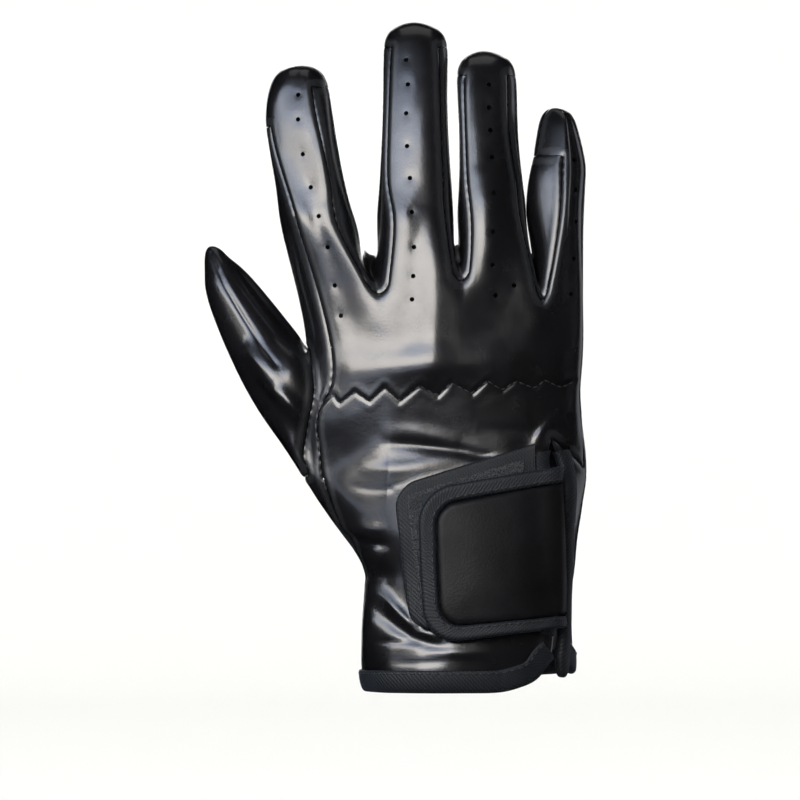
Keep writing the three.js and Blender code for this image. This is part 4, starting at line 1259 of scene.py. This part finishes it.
def stitchRoute(stations, along, height):
    route = []
    for station in stations:
        place = sectionPlace(station, along, height)
        route.append((place, (place - sectionPlace(station, along, 0)).normalized()))
    return route


hemRoute = stitchRoute(hemStations, hemLook["stitchAt"], hemLook["height"] + hemLook["stitchRise"])
makeStitches("hemStitches", hemRoute, hemLook["stitch"])

topStep = len(chains["slit"]) - stepsPerPoint + round(slitLook["top"] * stepsPerPoint)
backChain = chains["slit"][round(slitLook["start"] * stepsPerPoint) : topStep : 2]
backStations = chainStations(backChain, Vector((-1, 0, 0)), inset=True)
backTape = sweep("slitBindingBack", backStations, foldedSection(slitLook["reach"], slitLook["height"]))
finishPiece(backTape, "slit_binding_back")
backRoute = stitchRoute(backStations, slitLook["stitchAt"], slitLook["height"] + hemLook["stitchRise"])
makeStitches("slitStitches", backRoute, hemLook["stitch"])

palmStations = chainStations(chains["slit"][:topStep:2], Vector((1, 0, 0)), inset=True)
palmSection = foldedSection(slitLook["palmReach"], slitLook["palmHeight"], slitLook["palmCrown"])


# The tongue at its foot hangs straight below the mouth and closes in a half round
def footLoops(station, section):
    middle = slitLook["palmReach"] * slitLook["footMiddle"]
    flat = [sectionPlace(station, reach, height) for reach, height in section]
    centre = sectionPlace(station, middle, -glove["wall"] / 2)
    loops = []
    for step in range(slitLook["footSteps"]):
        angle = math.pi / 2 * step / slitLook["footSteps"]
        drop = Vector((0, 0, -slitLook["foot"] * math.cos(angle)))
        share = lerp(slitLook["footTip"], 1, math.sin(angle) ** slitLook["footRound"])
        loops.append([centre.lerp(place, share) + drop for place in flat])
    return loops


palmFoot = footLoops(palmStations[0], palmSection)
palmTape = sweep("slitBindingPalm", palmStations, palmSection, palmFoot)
finishPiece(palmTape, "slit_binding_palm")
print("bindings made")

# The closure: pile pad, tab and its binding, laid over the smooth back
tabInner = {
    "topLeft": (-10.2, 63), "topRight": (31.6, 70.8), "bottomRight": (32.2, 25.2),
    "bottomLeft": (-8.2, 21.4), "radius": 7, "thickness": 1.9, "round": 2.2, "swell": 0.25,
}
tabOuter = {
    "topLeft": (-16.8, 68.4), "topRight": (31.6, 76.8), "bottomRight": (32.2, 20.8),
    "bottomLeft": (-13.4, 15), "radius": 12,
}
tabRest = {"lift": 2.9, "endLift": 0.2, "dropFrom": 30, "dropTo": 35}
patchLook = {
    "edge": 0.7,  # thickness of a patch's edge
    "steadiness": 2.5,  # a patch follows the leather's slope between places this far to each side
    "columns": 56, "rows": 64, "outlineSteps": 200,
    "spread": 1.25,  # draws the columns together at the left end
    "swellWidth": 14,
    "crease": 60,
}


def tabLiftAt(x):
    drop = smoothStep(x, tabRest["dropFrom"], tabRest["dropTo"])
    return lerp(tabRest["lift"], tabRest["endLift"], float(drop))


def depthAt(x, z):
    return fromFront(smoothTree, x, z)[0].y


def drape(x, z, lift):
    reach = patchLook["steadiness"]
    slopeX = (depthAt(x + reach, z) - depthAt(x - reach, z)) / (2 * reach)
    slopeZ = (depthAt(x, z + reach) - depthAt(x, z - reach)) / (2 * reach)
    out = Vector((slopeX, -1, slopeZ)).normalized()
    return Vector((x, depthAt(x, z), z)) + out * lift


def patchPoint(patch, s, t):
    left, right = patch["bottomLeft"], patch["bottomRight"]
    topLeft, topRight = patch["topLeft"], patch["topRight"]
    height = topLeft[1] - left[1]
    fromEnd = min(t, 1 - t) * height
    radius = patch["radius"]
    inset = 0 if fromEnd >= radius else radius - math.sqrt(radius**2 - (radius - fromEnd) ** 2)
    edge = lerp(left[0], topLeft[0], t)
    end = lerp(right[0], topRight[0], t)
    x = lerp(edge + inset, end, s)
    along = (x - edge) / (end - edge)
    return x, lerp(lerp(left[1], right[1], along), lerp(topLeft[1], topRight[1], along), t)


def growPatch(patch, gap):
    def moved(corner, x, z):
        return (corner[0] + x * gap, corner[1] + z * gap)

    return {
        **patch,
        "topLeft": moved(patch["topLeft"], -1, 1),
        "topRight": moved(patch["topRight"], 0, 1),
        "bottomRight": moved(patch["bottomRight"], 0, -1),
        "bottomLeft": moved(patch["bottomLeft"], -1, -1),
        "radius": patch["radius"] + gap,
    }


def evenRow(row, rows):
    return (1 - math.cos(math.pi * row / rows)) / 2


def patchOutline(patch, columnCount, rowCount):
    along = [k / columnCount for k in range(columnCount + 1)]
    up = [evenRow(k, rowCount) for k in range(1, rowCount)]
    outline = [patchPoint(patch, 1 - s, 0) for s in along]
    outline += [patchPoint(patch, 0, t) for t in up]
    return outline + [patchPoint(patch, s, 1) for s in along]


# A patch whose top rises from a thin edge to its full thickness; its right end is cut straight
def makePatch(name, patch, liftAt, materials):
    columnCount, rowCount, steps = patchLook["columns"], patchLook["rows"], patchLook["outlineSteps"]
    outline = spotTree([(x, 0, z) for x, z in patchOutline(patch, steps, steps)])
    bottom, top, uvs = [], [], []
    for row in range(rowCount + 1):
        for column in range(columnCount + 1):
            s = (1 - column / columnCount) ** patchLook["spread"]
            x, z = patchPoint(patch, s, evenRow(row, rowCount))
            lift = liftAt(x)
            bottom.append(drape(x, z, lift))
            top.append(drape(x, z, lift + patchRise(patch, outline.find((x, 0, z))[2])))
            uvs.append((x, z))
    size = len(bottom)
    width = columnCount + 1
    faces = []
    for row in range(rowCount):
        for column in range(columnCount):
            a = row * width + column
            b, c, d = a + 1, a + width + 1, a + width
            faces += [(a, b, c, d), (size + a, size + d, size + c, size + b)]
    loop = list(range(columnCount)) + [row * width + columnCount for row in range(rowCount)]
    loop += [rowCount * width + k for k in range(columnCount, 0, -1)]
    loop += [row * width for row in range(rowCount, 0, -1)]
    for here, there in zip(loop, loop[1:] + loop[:1]):
        faces.append((there, here, size + here, size + there))
    made = makeObject(name, bottom + top, faces, materials, uvs + uvs)
    faceOutward(made)
    sharpenEdges(made, patchLook["crease"])
    return made


# Thickness of a patch at a distance from its edge
def patchRise(patch, fromEdge):
    rounded = math.sqrt(1 - (1 - min(fromEdge / patch["round"], 1)) ** 2)
    rise = lerp(patchLook["edge"], patch["thickness"], rounded)
    return rise + patch["swell"] * float(smoothStep(fromEdge, 0, patchLook["swellWidth"]))


loopPad = makePatch("loopPad", pad, lambda x: pad["lift"], [bindingTape, pileGround])
for face in loopPad.data.polygons:
    x, y, z = face.center / mm
    face.material_index = int(face.normal.y < 0 and depthInPatch(pad, x, z) > pad["border"])
finishPiece(loopPad, "loop_pad")
tabPanel = makePatch("tabPanel", tabInner, tabLiftAt, [tabLeather])
finishPiece(tabPanel, "tab_panel")

# The tab's binding: its section as (share of its width, height), from its outer edge
tabBindingLook = {
    "section": [
        (0, 0.3), (0.01, 0.8), (0.05, 1.35), (0.11, 1.75), (0.2, 1.98), (0.32, 2.0), (0.45, 1.9),
        (0.6, 1.82), (0.75, 1.82), (0.86, 1.75), (0.94, 1.5), (0.985, 1.0), (1, 0.4), (1, 0),
        (0.75, 0), (0.5, 0), (0.25, 0), (0, 0),
    ],
    "width": 6.0, "columns": 60, "rows": 72, "stitch": 2.3, "stitchAt": 0.78, "stitchHeight": 1.85,
}


def drapeOnTab(x, z, height):
    return drape(x, z, tabLiftAt(x) + height)


def makeTabBinding(look):
    patches = (tabOuter, growPatch(tabInner, seamGap))
    outer, inner = (np.array(patchOutline(patch, look["columns"], look["rows"])) for patch in patches)
    loops = [
        [drapeOnTab(*lerp(out, into, share), height) for share, height in look["section"]]
        for out, into in zip(outer, inner)
    ]
    runs = runningSum([math.dist(here, there) for here, there in zip(outer, outer[1:])])
    widths = [share * look["width"] for share, height in look["section"]]
    made = makeTapePiece("tabBinding", loops, runs, widths, patchLook["crease"])
    route = []
    for x, z in lerp(outer, inner, look["stitchAt"]):
        place = drapeOnTab(x, z, look["stitchHeight"])
        route.append((place, (place - drape(x, z, 0)).normalized()))
    makeStitches("tabStitches", route, look["stitch"])
    finishPiece(made, "tab_binding")


makeTabBinding(tabBindingLook)

# Loops of the pile, where the tab leaves the pad bare
loopLook = {
    "count": 2600, "height": 0.75, "width": 0.5, "thread": 0.09, "rings": 6, "sides": 3,
    "x": (-20, 21), "z": (20, 79),  # they are drawn from this range
    "lean": 0.3, "foot": 1.6, "underTab": 1.5,
}


def makePile(look):
    draw = random.Random(7)
    rings, sides = look["rings"], look["sides"]
    points, faces = [], []
    while len(points) < look["count"] * rings * sides:
        x, z = draw.uniform(*look["x"]), draw.uniform(*look["z"])
        turn, lean = draw.uniform(0, math.pi), draw.uniform(-look["lean"], look["lean"])
        if depthInPatch(pad, x, z) < pad["border"] or depthInPatch(tabOuter, x, z) > look["underTab"]:
            continue
        foot = drape(x, z, pad["lift"] + look["foot"])
        out = (foot - drape(x, z, 0)).normalized()
        across = out.cross(Vector((math.cos(turn), 0, math.sin(turn)))).normalized()
        side = across.cross(out)
        faces += tubeFaces(len(points), rings, sides)[:-2]
        for ring in range(rings):
            angle = math.pi * ring / (rings - 1)
            centre = foot + across * math.cos(angle) * look["width"] / 2
            centre += (out + side * lean) * math.sin(angle) * look["height"]
            spoke = (across * math.cos(angle) + out * math.sin(angle)).normalized()
            points += ringPoints(centre, spoke, side, look["thread"], sides)
    made = makeObject("pileLoops", points, faces, [pileLoop])
    made.data.flip_normals()
    finishPiece(made)


makePile(loopLook)
print("closure made")


# Stage: a pale round studio sweep, far enough away for every view to be taken inside it
stageLook = {
    "floor": -0.16, "radius": 4.8, "curve": 1.2, "curveSteps": 12, "wall": 3.4, "turns": 64,
    "colour": "#f4f4f2", "sky": "#ffffff", "skyGlow": 1.3,
}
palePaper = newMaterial(
    "palePaper", {"Base Color": linearColour(stageLook["colour"]), "Roughness": 0.9}
)[0]


def makeSweep():
    radius, curve, floor, turns = (stageLook[name] for name in ("radius", "curve", "floor", "turns"))
    profile = [(0.001, 0), (radius - curve, 0)]
    for k in range(1, stageLook["curveSteps"] + 1):
        angle = math.pi / 2 * k / stageLook["curveSteps"]
        profile.append((radius - curve * (1 - math.sin(angle)), curve * (1 - math.cos(angle))))
    profile.append((radius, stageLook["wall"]))
    size = len(profile)
    points, faces = [], []
    for k in range(turns):
        angle = 2 * math.pi * k / turns
        points += [(r * math.cos(angle), r * math.sin(angle), z + floor) for r, z in profile]
        low, high = k * size, (k + 1) % turns * size
        faces += [(low + j, high + j, high + j + 1, low + j + 1) for j in range(size - 1)]
    made = makeObject("studioSweep", np.array(points) / mm, faces, [palePaper])
    made.visible_glossy = False


makeSweep()

world = bpy.data.worlds.new("studio")
bpy.context.scene.world = world
world.use_nodes = True
background = world.node_tree.nodes["Background"]
background.inputs["Color"].default_value = linearColour(stageLook["sky"])
background.inputs["Strength"].default_value = stageLook["skyGlow"]
world.cycles_visibility.glossy = False


def addSoftBox(light, place, turn, width, height, power):
    data = bpy.data.lights.new(light["name"], "AREA")
    data.shape = "RECTANGLE"
    data.size, data.size_y = width, height
    data.energy = power
    data.color = linearColour(light["colour"])[:3]
    box = addToScene(light["name"], data)
    box.location = place
    box.rotation_euler = turn
    box.visible_camera = False


# Soft boxes round the glove, placed by the angle at which it sees them: azimuth to the right of
# the camera and elevation in degrees, distance, width and height in metres, and power in watts
lights = table(
    "name azimuth elevation distance width height power colour",
    [
        ("rightFill", 75, 20, 1.8, 0.5, 1.6, 0.3, "#eef2ff"),
        ("rightWall", 118, 5, 1.8, 0.9, 1.6, 4, "#f2f4ff"),
        ("back", 180, 15, 1.9, 1.3, 1.4, 20, "#ffffff"),
        ("overhead", 0, 88, 1.7, 1.2, 1.2, 3, "#ffffff"),
    ],
)
aim = Vector((-0.02, 0, 0.11))
for light in lights:
    azimuth, elevation = math.radians(light["azimuth"]), math.radians(light["elevation"])
    level = math.cos(elevation)
    way = Vector((math.sin(azimuth) * level, -math.cos(azimuth) * level, math.sin(elevation)))
    place, turn = aim + way * light["distance"], (-way).to_track_quat("-Z", "Y").to_euler()
    addSoftBox(light, place, turn, light["width"], light["height"], light["power"])

# A window in tiers, bluer higher up, with its sill and a low pane, all flat before the glove at
# its left. left and right are x, low and high are z, in metres; glow is radiance.
paneDepth = -0.4
panes = table(
    "name left right low high glow colour",
    [
        ("windowLow", -0.27, -0.015, 0.14, 0.283, 13.3, "#fffaf4"),
        ("windowSide", -0.66, -0.27, 0.2, 0.283, 10.5, "#fffaf4"),
        ("windowHigh", -1.1, -0.015, 0.286, 0.35, 9, "#dfeaff"),
        ("windowUpper", -0.66, -0.09, 0.353, 0.48, 4.8, "#d6e4ff"),
        ("windowTop", -0.66, -0.09, 0.48, 0.75, 0.5, "#cfdcf5"),
        ("sill", -0.2, -0.015, 0.115, 0.14, 5, "#d6e4ff"),
        ("doorLow", -0.5, -0.09, 0.05, 0.1, 2.6, "#d6e4ff"),
    ],
)
for pane in panes:
    width, height = pane["right"] - pane["left"], pane["high"] - pane["low"]
    place = ((pane["left"] + pane["right"]) / 2, paneDepth, (pane["low"] + pane["high"]) / 2)
    addSoftBox(pane, place, facingGlove, width, height, pane["glow"] * math.pi * width * height)

bpy.context.scene.view_settings.view_transform = "Standard"
print("stage and lights set")
